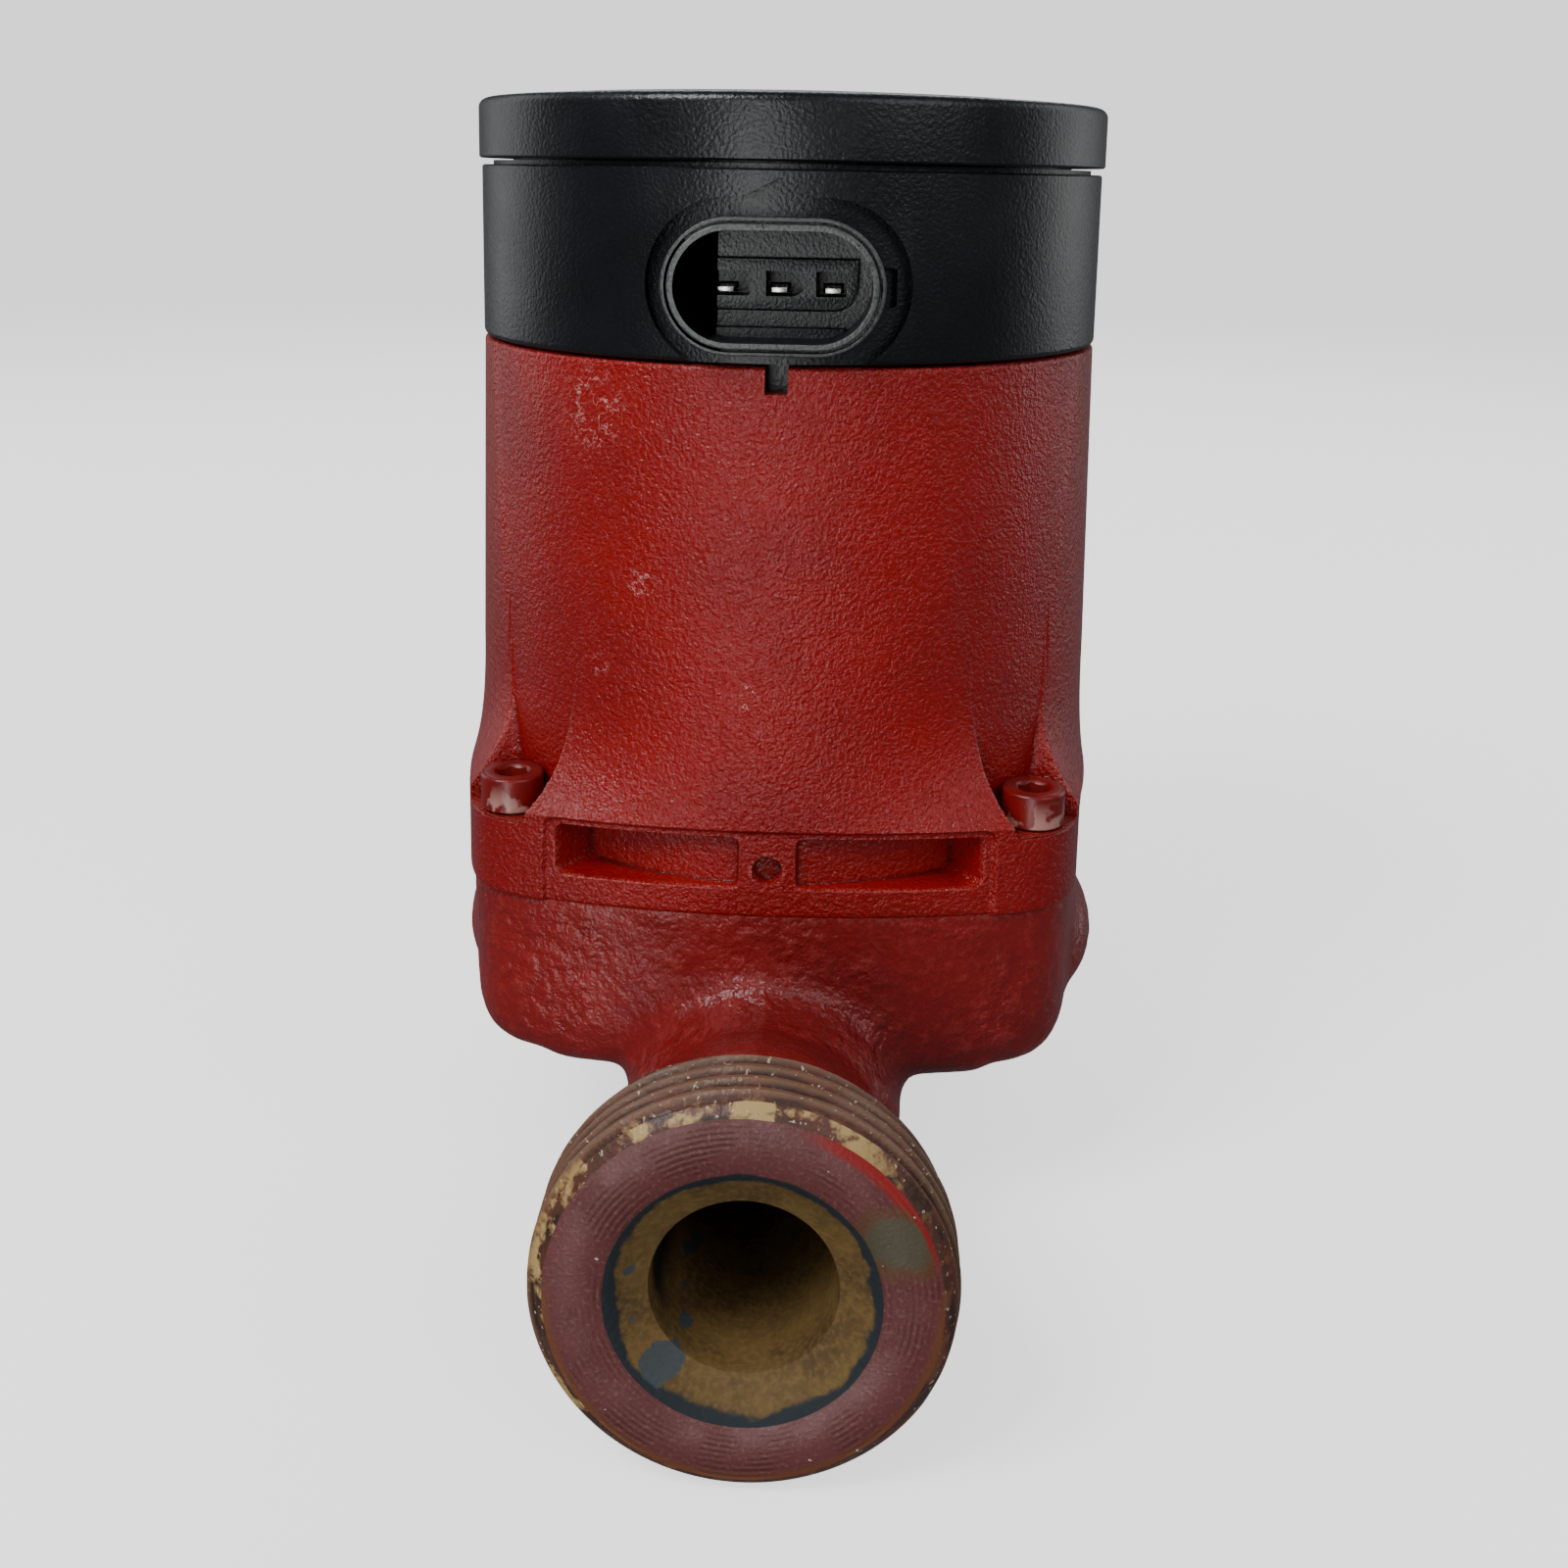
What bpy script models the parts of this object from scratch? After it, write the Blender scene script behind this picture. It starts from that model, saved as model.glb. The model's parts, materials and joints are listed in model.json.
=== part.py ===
"""In-line wet-rotor circulator pump, modelled piece by piece.

Metres, +Z up along the motor axis and Y along the pipe. The origin is where the two axes cross.
"""

import math

import bmesh
import bpy

MM = 0.001
GAP = 0.3 * MM  # clearance kept between pieces that touch on the real pump
FULL_TURN = 2 * math.pi

# Pipe and ports
PORT_FACE = 90 * MM  # half of the 180 mm port-to-port length
THREAD_CREST = 23.9 * MM  # G 1 1/2, 47.8 mm over the crests
THREAD_ROOT = 22.4 * MM
THREAD_PITCH = 2.309 * MM
THREAD_CRESTS = 4
PORT_CHAMFER = 2 * MM
COUNTERSINK_RADIUS = 15.2 * MM
COUNTERSINK_DEPTH = 2.3 * MM
BORE_RADIUS = 10.4 * MM
BORE_END = 56 * MM  # where the outlet's straight bore narrows to the inner water way
INLET_BORE_END = 60 * MM
NECK_RADIUS = 17.8 * MM
INLET_NECK_END = 75.3 * MM  # from here on the inlet neck sinks towards the impeller's eye
BELLY_RADIUS = 20 * MM  # the pipe swells where it runs under the pump chamber
WATERWAY_RADIUS = 8 * MM

# Flange, shared by the pump housing and the stator housing
FLANGE_HALF = 45.4 * MM  # from the motor axis to the middle of each bowed side
FLANGE_BOW = 140 * MM  # radius of the bowed sides
CORNER_SHARPNESS = 20  # higher is a sharper corner
SCREW_REACH = 35.5 * MM  # flange screws stand at plus and minus this in X and Y

# Pump housing
BLOCK_BOTTOM = -0.5 * MM
BLOCK_TOP = 23.3 * MM
BULGE_REACH = {-1: 47.2 * MM, 1: 48.4 * MM}  # the volute swells further on the outlet side
BULGE_MIDDLE = (30 * MM, -6 * MM, 8.6 * MM)
BULGE_LENGTH = 29 * MM  # half of it, along Y
BULGE_HEIGHT = 11.2 * MM  # half of it
OUTLET_HEIGHT = 11 * MM  # where the outlet leaves the volute
CHAMBER_FLOOR = 5.5 * MM
CHAMBER_RADIUS = 35 * MM
VOLUTE_SHIFT = (2.4 * MM, 1.2 * MM)  # a second, shifted circle widens the chamber to the outlet
RECESS_FLOOR = 18.3 * MM
RECESS_RADIUS = 41.6 * MM
EYE_SEAT_RADIUS = 13 * MM
EYE_RADIUS = 9.6 * MM
SCREW_HOLE_RADIUS = 2.8 * MM

# Stator housing
CASE_RADIUS = 45 * MM
CASE_SKIRT_RADIUS = 45.7 * MM
CASE_BOTTOM = 23.6 * MM
LUG_TOP = 34.5 * MM
PANEL_TOP = 36 * MM
SKIRT_TOP = 52 * MM
CASE_TOP = 96.5 * MM
CASE_BORE = 40 * MM
CASE_PLATE_BOTTOM = 88.5 * MM
CASE_PLATE_TOP = 92 * MM
POCKET_ENDS = (3.9 * MM, 28.6 * MM)  # from the middle of each side
POCKET_BOTTOM = 28 * MM
POCKET_TOP = 34.7 * MM
POCKET_FLOOR_RADIUS = 44.2 * MM
DRAIN_HEIGHT = 30.3 * MM
DRAIN_RADIUS = 1.9 * MM
SCREW_HEAD_TOP = 39.6 * MM
SCREW_HEAD_RADIUS = 4.25 * MM

# Control box
BOX_BOTTOM = 96.9 * MM
BOX_FLOOR = 99.3 * MM
BOX_RIM = 120.9 * MM
BOX_RADIUS = 45.1 * MM
BOX_INNER = 42.6 * MM
LID_BOTTOM = 121.8 * MM
LID_EDGE = 130 * MM
LID_TOP = 131.6 * MM
LID_RADIUS = 45.5 * MM
BOARD_BOTTOM = 104 * MM
BOARD_TOP = 105.6 * MM
BOX_SCREW_REACH = 24 * MM  # the four screws under the board stand at plus and minus this
WINDING_PIN_Y = 35.5 * MM
WINDING_PIN_X = (-6 * MM, 0.0, 6 * MM)
SOCKET_CENTRE = (-0.5 * MM, 106.6 * MM)  # X and Z of the mains socket
SOCKET_HALF_WIDTH = 13.9 * MM
SOCKET_HALF_HEIGHT = 8.5 * MM
SOCKET_WALL = 1.3 * MM
SOCKET_FRONT = -47 * MM
SOCKET_BACK = -29 * MM
PIN_BLOCK_FRONT = -37 * MM
PIN_PITCH = 6.9 * MM
PIN_SHIFT = 0.4 * MM  # the three blades sit a little off the socket's centre

# Motor
STACK_BOTTOM = 34.6 * MM
STACK_TOP = 74.6 * MM
STACK_RADIUS = 39.7 * MM
YOKE_INNER = 33 * MM
TOOTH_TIP = 17.1 * MM
TOOTH_HALF = 4 * MM
TEETH = 6
SHAFT_RADIUS = 4 * MM
CAN_OUTER = 16.5 * MM
CAN_INNER = 16 * MM
ROTOR_RADIUS = 14.6 * MM
SLEEVE_RADIUS = 15.4 * MM
HUB_INNER = 8.3 * MM  # where the bearings sit
IMPELLER_RADIUS = 26.4 * MM

SMALL = 10  # facets round a screw hole
COARSE = 14
MEDIUM = 20
FINE = 32


def clear_scene():
    for thing in list(bpy.data.objects):
        bpy.data.objects.remove(thing, do_unlink=True)


def new_collection(name):
    collection = bpy.data.collections.new(name)
    bpy.context.scene.collection.children.link(collection)
    return collection


def material(name, colour, roughness, metallic=0.0):
    look = bpy.data.materials.new(name)
    look.use_nodes = True
    shader = look.node_tree.nodes["Principled BSDF"]
    shader.inputs["Base Color"].default_value = (*colour, 1.0)
    shader.inputs["Roughness"].default_value = roughness
    shader.inputs["Metallic"].default_value = metallic
    look.diffuse_color = (*colour, 1.0)
    return look


clear_scene()
PUMP = new_collection("circulator_pump")
CUTTERS = new_collection("cutters")
COATED_IRON = material("coated_cast_iron", (0.13, 0.012, 0.012), 0.45)
COATED_ALUMINIUM = material("coated_aluminium", (0.25, 0.011, 0.009), 0.4)
BLACK_PLASTIC = material("black_plastic", (0.008, 0.01, 0.012), 0.5)
STAINLESS = material("stainless_steel", (0.55, 0.54, 0.52), 0.3, 1.0)
ZINC_STEEL = material("plated_steel", (0.5, 0.5, 0.48), 0.4, 1.0)
PAINTED_STEEL = material("painted_steel", (0.2, 0.011, 0.01), 0.4)
CERAMIC = material("ceramic", (0.75, 0.72, 0.66), 0.3)
CARBON = material("carbon", (0.03, 0.03, 0.03), 0.4)
RUBBER = material("rubber", (0.012, 0.012, 0.012), 0.7)
COPPER = material("enamelled_copper", (0.55, 0.2, 0.07), 0.3, 1.0)
LAMINATION = material("lamination_steel", (0.3, 0.3, 0.31), 0.45, 1.0)
MAGNET = material("magnet", (0.06, 0.06, 0.065), 0.5)
WHITE_PLASTIC = material("white_plastic", (0.6, 0.58, 0.52), 0.5)
COMPOSITE = material("impeller_composite", (0.08, 0.08, 0.075), 0.5)
BOARD_GREEN = material("board_laminate", (0.01, 0.09, 0.03), 0.4)
TINNED = material("tinned_brass", (0.62, 0.61, 0.58), 0.25, 1.0)

rotor_axis = bpy.data.objects.new("rotor_axis", None)
PUMP.objects.link(rotor_axis)


# ---------------------------------------------------------------- shape tools


def place(name, mesh, look=None):
    """A piece of the pump, or a hidden cutter when it has no material."""
    thing = bpy.data.objects.new(name, mesh)
    if look is None:
        CUTTERS.objects.link(thing)
        thing.hide_render = True
        thing.display_type = "WIRE"
        return thing
    mesh.materials.append(look)
    PUMP.objects.link(thing)
    return thing


def turned(name, profile, steps, look=None, along="Z"):
    """Spin (radius, height) points round Z. They run down the outer side, top to bottom."""
    mesh = bpy.data.meshes.new(name)
    points = [(radius, 0.0, height) for radius, height in profile]
    edges = [(i, i + 1) for i in range(len(points) - 1)]
    if profile[0][0] > 0:
        edges.append((len(points) - 1, 0))
    mesh.from_pydata(points, edges, [])
    piece = place(name, mesh, look)
    spin = piece.modifiers.new("turn", "SCREW")
    spin.steps = steps
    spin.render_steps = steps
    spin.use_merge_vertices = True
    spin.merge_threshold = 0.00001
    if along == "Y":
        piece.rotation_euler = (-math.pi / 2, 0, 0)
    return piece


def ring(name, inner, outer, bottom, top, steps, look=None):
    return turned(name, [(outer, top), (outer, bottom), (inner, bottom), (inner, top)], steps, look)


def disc(name, radius, bottom, top, steps, look=None, centre=(0.0, 0.0)):
    piece = turned(name, [(0, top), (radius, top), (radius, bottom), (0, bottom)], steps, look)
    piece.location = (centre[0], centre[1], 0)
    return piece


def block(name, low, high, look=None, angle=0.0):
    """A box between two corners, turned round the motor axis by an angle."""
    shape = bmesh.new()
    bmesh.ops.create_cube(shape, size=1.0)
    size = [high[i] - low[i] for i in range(3)]
    middle = [(high[i] + low[i]) / 2 for i in range(3)]
    bmesh.ops.scale(shape, vec=size, verts=shape.verts)
    bmesh.ops.translate(shape, vec=middle, verts=shape.verts)
    mesh = bpy.data.meshes.new(name)
    shape.to_mesh(mesh)
    shape.free()
    piece = place(name, mesh, look)
    piece.rotation_euler = (0, 0, angle)
    return piece


def ellipsoid(name, centre, radii):
    shape = bmesh.new()
    bmesh.ops.create_uvsphere(shape, u_segments=16, v_segments=10, radius=1.0)
    bmesh.ops.scale(shape, vec=radii, verts=shape.verts)
    bmesh.ops.translate(shape, vec=centre, verts=shape.verts)
    mesh = bpy.data.meshes.new(name)
    shape.to_mesh(mesh)
    shape.free()
    return place(name, mesh)


def curve_to_mesh(curve, name, look=None):
    """Turn a curve object into a closed mesh object, because a curve takes no Boolean."""
    bpy.context.scene.collection.objects.link(curve)
    bpy.context.view_layer.update()
    evaluated = curve.evaluated_get(bpy.context.evaluated_depsgraph_get())
    mesh = bpy.data.meshes.new_from_object(evaluated)
    shape = bmesh.new()
    shape.from_mesh(mesh)
    bmesh.ops.remove_doubles(shape, verts=shape.verts, dist=0.00001)
    shape.to_mesh(mesh)
    shape.free()
    mesh.materials.clear()
    where = curve.matrix_world.copy()
    bpy.data.objects.remove(curve, do_unlink=True)
    piece = place(name, mesh, look)
    piece.matrix_world = where
    return piece


def plate(name, outline, low, high, look=None, facing="Z"):
    """A flat outline given thickness from low to high along Z, or along Y with X and Z points."""
    data = bpy.data.curves.new(name, "CURVE")
    data.dimensions = "2D"
    data.fill_mode = "BOTH"
    data.extrude = (high - low) / 2
    spline = data.splines.new("POLY")
    spline.points.add(len(outline) - 1)
    for point, (x, y) in zip(spline.points, outline):
        point.co = (x, y, 0, 1)
    spline.use_cyclic_u = True
    curve = bpy.data.objects.new(name, data)
    middle = (high + low) / 2
    if facing == "Y":
        curve.rotation_euler = (math.pi / 2, 0, 0)
        curve.location = (0, middle, 0)
    else:
        curve.location = (0, 0, middle)
    return curve_to_mesh(curve, name, look)


def water_way(name, route):
    """A round passage through (point, radius) pairs, as a cutter."""
    data = bpy.data.curves.new(name, "CURVE")
    data.dimensions = "3D"
    data.bevel_depth = 1.0
    data.bevel_resolution = 2
    data.use_fill_caps = True
    spline = data.splines.new("POLY")
    spline.points.add(len(route) - 1)
    for point, (where, radius) in zip(spline.points, route):
        point.co = (*where, 1)
        point.radius = radius
    return curve_to_mesh(bpy.data.objects.new(name, data), name)


def loft(name, rings, look=None):
    """Bridge closed rings of equal point counts, lowest ring first, and cap both ends."""
    shape = bmesh.new()
    rows = [[shape.verts.new(point) for point in points] for points in rings]
    count = len(rows[0])
    for lower, upper in zip(rows, rows[1:]):
        for i in range(count):
            after = (i + 1) % count
            shape.faces.new((lower[i], lower[after], upper[after], upper[i]))
    shape.faces.new(list(reversed(rows[0])))
    shape.faces.new(rows[-1])
    mesh = bpy.data.meshes.new(name)
    shape.to_mesh(mesh)
    shape.free()
    return place(name, mesh, look)


def combine(piece, tool, operation):
    """Join or cut with a Boolean, and keep the tool as a hidden helper."""
    change = piece.modifiers.new(tool.name, "BOOLEAN")
    change.operation = operation
    change.solver = "EXACT"
    change.object = tool


def cut(piece, *tools):
    for tool in tools:
        combine(piece, tool, "DIFFERENCE")


def join(piece, *tools):
    for tool in tools:
        combine(piece, tool, "UNION")


def finish(piece, rotor=False):
    """Shade a piece smooth over its round parts, and hang a turning piece on the rotor axis."""
    if rotor:
        piece.parent = rotor_axis
    for face in piece.data.polygons:
        face.use_smooth = True
    piece.data.set_sharp_from_angle(angle=math.radians(35))


def corners(reach):
    """The four places at plus and minus a reach, counted round from the front left."""
    return [(-reach, -reach), (reach, -reach), (reach, reach), (-reach, reach)]


# ------------------------------------------------------------------- outlines


def side_distance(cosine, sine):
    """How far out a bowed side lies in a direction, measured from the motor axis."""
    offset = FLANGE_BOW - FLANGE_HALF
    return math.sqrt(FLANGE_BOW**2 - (offset * sine) ** 2) - offset * abs(cosine)


def flange_radius(angle):
    """The bowed square's radius in a direction, with rounded corners."""
    power = CORNER_SHARPNESS
    across_x = side_distance(math.cos(angle), math.sin(angle))
    across_y = side_distance(math.sin(angle), math.cos(angle))
    return (across_x**-power + across_y**-power) ** (-1 / power)


def section_angles(per_quarter=11):
    """Directions round the motor axis, closer together at the flange's corners."""
    angles = []
    for quarter in range(4):
        for step in range(per_quarter):
            u = 2 * step / per_quarter - 1
            turn = math.pi / 4 * (0.45 * u + 0.55 * u**3)
            angles.append(quarter * math.pi / 2 + math.pi / 4 + turn)
    return angles


def section(height, radius_at):
    """A ring of points at a height, from a radius for each direction."""
    points = []
    for angle in section_angles():
        radius = radius_at(angle)
        points.append((radius * math.cos(angle), radius * math.sin(angle), height))
    return points


def stadium(centre, half_width, half_height, per_end=8):
    """A slot outline with round ends, counter-clockwise."""
    reach = half_width - half_height
    outline = []
    for side in (1, -1):
        for step in range(per_end + 1):
            angle = math.pi * (step / per_end - 0.5)
            x = side * (reach + half_height * math.cos(angle))
            outline.append((centre[0] + x, centre[1] + side * half_height * math.sin(angle)))
    return outline


# --------------------------------------------------------------- pump housing


def port_profile(neck_end):
    """The pipe from a port face to the end of its neck: (radius, distance) points."""
    profile = [(THREAD_CREST - PORT_CHAMFER, PORT_FACE)]
    start = PORT_FACE - PORT_CHAMFER
    for turn in range(THREAD_CRESTS):
        crest = start - turn * THREAD_PITCH
        profile.append((THREAD_CREST, crest))
        profile.append((THREAD_ROOT, crest - THREAD_PITCH / 2))
    runout = start - THREAD_CRESTS * THREAD_PITCH
    profile.append((NECK_RADIUS, runout))
    profile.append((NECK_RADIUS, neck_end))
    return profile


def ring_along_pipe(distance, height, radius):
    """A circle square to the pipe, counted so that a loft towards +Y faces outwards."""
    turns = [FULL_TURN * i / FINE for i in range(FINE)]
    return [(radius * math.sin(a), distance, height + radius * math.cos(a)) for a in turns]


def make_inlet_neck():
    """The neck that sinks from the front port and flares into the block's front wall."""
    places = [
        (-77.5, 0, 17),
        (-73, -0.3, 17.5),
        (-70, -0.8, 17.5),
        (-66, -1.7, 17.3),
        (-62, -2.8, 17),
        (-57, -5, 16.7),
        (-53, -7, 16.5),
        (-49.5, -5.8, 17.9),
        (-47, -4.6, 19.1),
        (-45, -3.6, 20.1),
        (-40, -3.6, 20.1),
        (-30, -5, 17),
        (0, -4, 14),
    ]
    rings = [ring_along_pipe(y * MM, z * MM, radius * MM) for y, z, radius in places]
    return loft("inlet_neck", rings)


def make_pump_housing():
    def drawn_in(inset):
        return lambda angle: flange_radius(angle) - inset

    piece = loft(
        "pump_housing",
        [
            section(BLOCK_BOTTOM, drawn_in(5.2 * MM)),
            section(BLOCK_BOTTOM + 0.6 * MM, drawn_in(3.4 * MM)),
            section(BLOCK_BOTTOM + 1.8 * MM, drawn_in(1.9 * MM)),
            section(BLOCK_BOTTOM + 3.6 * MM, drawn_in(0.8 * MM)),
            section(BLOCK_BOTTOM + 6 * MM, drawn_in(0.3 * MM)),
            section(BLOCK_TOP, drawn_in(0)),
        ],
        COATED_IRON,
    )
    belly = [(BELLY_RADIUS, FLANGE_HALF), (BELLY_RADIUS, 0), (14 * MM, -36 * MM), (0, -36 * MM)]
    outlet_half = [(0, PORT_FACE)] + port_profile(BORE_END) + belly
    join(piece, turned("outlet_pipe", outlet_half, FINE, None, "Y"))
    inlet = [(radius, -distance) for radius, distance in reversed(port_profile(INLET_NECK_END))]
    inlet_half = [(0, -INLET_NECK_END)] + inlet + [(0, -PORT_FACE)]
    join(piece, turned("inlet_pipe", inlet_half, FINE, None, "Y"), make_inlet_neck())
    for side in (1, -1):
        x, y, z = BULGE_MIDDLE
        radii = (BULGE_REACH[side] - x, BULGE_LENGTH, BULGE_HEIGHT)
        join(piece, ellipsoid("volute_bulge", (side * x, y, z), radii))

    chamber = turned(
        "chamber",
        [
            (0, BLOCK_TOP + MM),
            (RECESS_RADIUS, BLOCK_TOP + MM),
            (RECESS_RADIUS, RECESS_FLOOR),
            (CHAMBER_RADIUS, RECESS_FLOOR),
            (CHAMBER_RADIUS, CHAMBER_FLOOR),
            (EYE_SEAT_RADIUS, CHAMBER_FLOOR),
            (EYE_SEAT_RADIUS, 1 * MM),
            (EYE_RADIUS, 1 * MM),
            (EYE_RADIUS, -7 * MM),
            (0, -7 * MM),
        ],
        FINE,
    )
    volute = disc(
        "volute", CHAMBER_RADIUS, CHAMBER_FLOOR, RECESS_FLOOR + MM, FINE, None, VOLUTE_SHIFT
    )
    cut(piece, chamber, volute)

    wide = BORE_RADIUS * 0.98
    suction = water_way(
        "suction",
        [
            ((0, -INLET_BORE_END - 4 * MM, 0), wide),
            ((0, -INLET_BORE_END, -0.5 * MM), wide),
            ((0, -48 * MM, -5.5 * MM), WATERWAY_RADIUS),
            ((0, -30 * MM, -8 * MM), WATERWAY_RADIUS),
            ((0, -14 * MM, -8.5 * MM), WATERWAY_RADIUS),
            ((0, -5 * MM, -7.5 * MM), WATERWAY_RADIUS),
            ((0, 2 * MM, -5 * MM), WATERWAY_RADIUS * 0.8),
        ],
    )
    discharge = water_way(
        "discharge",
        [
            ((25 * MM, 12 * MM, OUTLET_HEIGHT + 0.6 * MM), 6 * MM),
            ((21 * MM, 27 * MM, OUTLET_HEIGHT - MM), 7 * MM),
            ((12 * MM, 39 * MM, 5 * MM), WATERWAY_RADIUS),
            ((4 * MM, 48 * MM, 1 * MM), WATERWAY_RADIUS),
            ((0, BORE_END, 0), wide),
            ((0, BORE_END + 4 * MM, 0), wide),
        ],
    )
    cut(piece, suction, discharge)

    for side, bore_end in ((1, BORE_END), (-1, INLET_BORE_END)):
        face = side * PORT_FACE
        bore = turned(
            "bore",
            [
                (0, face + side * MM),
                (COUNTERSINK_RADIUS + 2 * MM, face + side * MM),
                (COUNTERSINK_RADIUS, face),
                (BORE_RADIUS, face - side * COUNTERSINK_DEPTH),
                (BORE_RADIUS, side * bore_end),
                (0, side * bore_end),
            ][::side],
            MEDIUM,
            None,
            "Y",
        )
        cut(piece, bore)
    for x, y in corners(SCREW_REACH):
        top = BLOCK_TOP + MM
        cut(piece, disc("tapped_hole", SCREW_HOLE_RADIUS, 10 * MM, top, COARSE, None, (x, y)))
    finish(piece)


def make_wet_end_rings():
    finish(ring("neck_ring", 11.5 * MM, 12.7 * MM, 1.3 * MM, 5.8 * MM, MEDIUM, STAINLESS))
    bearing_plate = turned(
        "bearing_plate",
        [
            (10.5 * MM, 26.5 * MM),
            (10.5 * MM, 20.1 * MM),
            (RECESS_RADIUS - GAP, 20.1 * MM),
            (RECESS_RADIUS - GAP, RECESS_FLOOR + GAP),
            (10.5 * MM, RECESS_FLOOR + GAP),
            (10.5 * MM, 17 * MM),
            (HUB_INNER, 17 * MM),
            (HUB_INNER, 26.5 * MM),
        ],
        FINE,
        STAINLESS,
    )
    vent_circle = 13.3 * MM
    for i in range(3):
        angle = FULL_TURN * (i / 3 + 0.055)
        where = (vent_circle * math.cos(angle), vent_circle * math.sin(angle))
        cut(bearing_plate, disc("vent_hole", 1.2 * MM, 17 * MM, 22 * MM, SMALL, None, where))
    finish(bearing_plate)
    bearing_inner = SHAFT_RADIUS + GAP
    bearing_outer = HUB_INNER - GAP
    finish(
        ring("lower_bearing", bearing_inner, bearing_outer, 17.3 * MM, 26.2 * MM, MEDIUM, CERAMIC)
    )
    gasket_outer = RECESS_RADIUS - GAP
    finish(ring("housing_gasket", 37.5 * MM, gasket_outer, 20.4 * MM, 21.6 * MM, FINE, RUBBER))
    can = turned(
        "rotor_can",
        [
            (0, 87.8 * MM),
            (8.8 * MM, 87.8 * MM),
            (8.8 * MM, 79.4 * MM),
            (CAN_OUTER, 79.4 * MM),
            (CAN_OUTER, 23.2 * MM),
            (RECESS_RADIUS - GAP, 23.2 * MM),
            (RECESS_RADIUS - GAP, 21.9 * MM),
            (CAN_INNER, 21.9 * MM),
            (CAN_INNER, 78.9 * MM),
            (HUB_INNER, 78.9 * MM),
            (HUB_INNER, 87.3 * MM),
            (0, 87.3 * MM),
        ],
        FINE,
        STAINLESS,
    )
    finish(can)
    finish(
        ring("upper_bearing", bearing_inner, bearing_outer, 79.4 * MM, 86.6 * MM, MEDIUM, CERAMIC)
    )


# ---------------------------------------------------------------------- rotor


def vane_outline(start_angle):
    """A backward-curved vane between the impeller eye and its rim."""
    inner = 10.5 * MM
    outer = IMPELLER_RADIUS - 0.2 * MM
    half_thickness = 0.8 * MM
    steps = 7
    left = []
    right = []
    for i in range(steps + 1):
        share = i / steps
        radius = inner + (outer - inner) * share
        angle = start_angle - math.radians(62) * share
        lead = half_thickness / radius
        left.append((radius * math.cos(angle + lead), radius * math.sin(angle + lead)))
        right.append((radius * math.cos(angle - lead), radius * math.sin(angle - lead)))
    return right + left[::-1]


def make_rotor():
    shaft = turned(
        "shaft",
        [
            (0, 86.4 * MM),
            (SHAFT_RADIUS - 0.5 * MM, 86.4 * MM),
            (SHAFT_RADIUS, 85.9 * MM),
            (SHAFT_RADIUS, 9 * MM),
            (SHAFT_RADIUS - 0.5 * MM, 8.5 * MM),
            (0, 8.5 * MM),
        ],
        COARSE,
        CERAMIC,
    )
    finish(shaft, rotor=True)
    bush = SHAFT_RADIUS + GAP
    rings = [
        ("thrust_ring", bush, 9 * MM, 26.8 * MM, 29.6 * MM, CARBON),
        ("thrust_ring_holder", bush, 9.5 * MM, 29.9 * MM, 33 * MM, RUBBER),
        ("rotor_lower_plate", bush, SLEEVE_RADIUS, 33.3 * MM, 34.6 * MM, STAINLESS),
        ("rotor_magnet", bush, ROTOR_RADIUS, 34.9 * MM, 74.3 * MM, MAGNET),
        ("rotor_sleeve", ROTOR_RADIUS + GAP, SLEEVE_RADIUS, 34.9 * MM, 74.3 * MM, STAINLESS),
        ("rotor_upper_plate", bush, SLEEVE_RADIUS, 74.6 * MM, 75.9 * MM, STAINLESS),
        ("impeller_locking_cone", bush, 6.2 * MM, 9.6 * MM, 15.4 * MM, STAINLESS),
    ]
    for name, inner, outer, bottom, top, look in rings:
        finish(ring(name, inner, outer, bottom, top, MEDIUM, look), rotor=True)
    impeller = turned(
        "impeller",
        [
            (8.4 * MM, 15.8 * MM),
            (8.4 * MM, 14.6 * MM),
            (IMPELLER_RADIUS, 14.6 * MM),
            (IMPELLER_RADIUS, 13.2 * MM),
            (10 * MM, 13.2 * MM),
            (7.6 * MM, 10 * MM),
            (6.5 * MM, 10 * MM),
            (6.5 * MM, 15.8 * MM),
        ],
        FINE,
        COMPOSITE,
    )
    for i in range(6):
        outline = vane_outline(FULL_TURN * i / 6)
        join(impeller, plate(f"vane_{i}", outline, 8.5 * MM, 13.6 * MM))
    finish(impeller, rotor=True)
    shroud = turned(
        "impeller_shroud",
        [
            (IMPELLER_RADIUS, 8.2 * MM),
            (IMPELLER_RADIUS, 6.9 * MM),
            (11.1 * MM, 6.9 * MM),
            (11.1 * MM, 1.8 * MM),
            (9.8 * MM, 1.8 * MM),
            (9.8 * MM, 8.2 * MM),
        ],
        FINE,
        COMPOSITE,
    )
    finish(shroud, rotor=True)


# --------------------------------------------------------------------- stator


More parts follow.
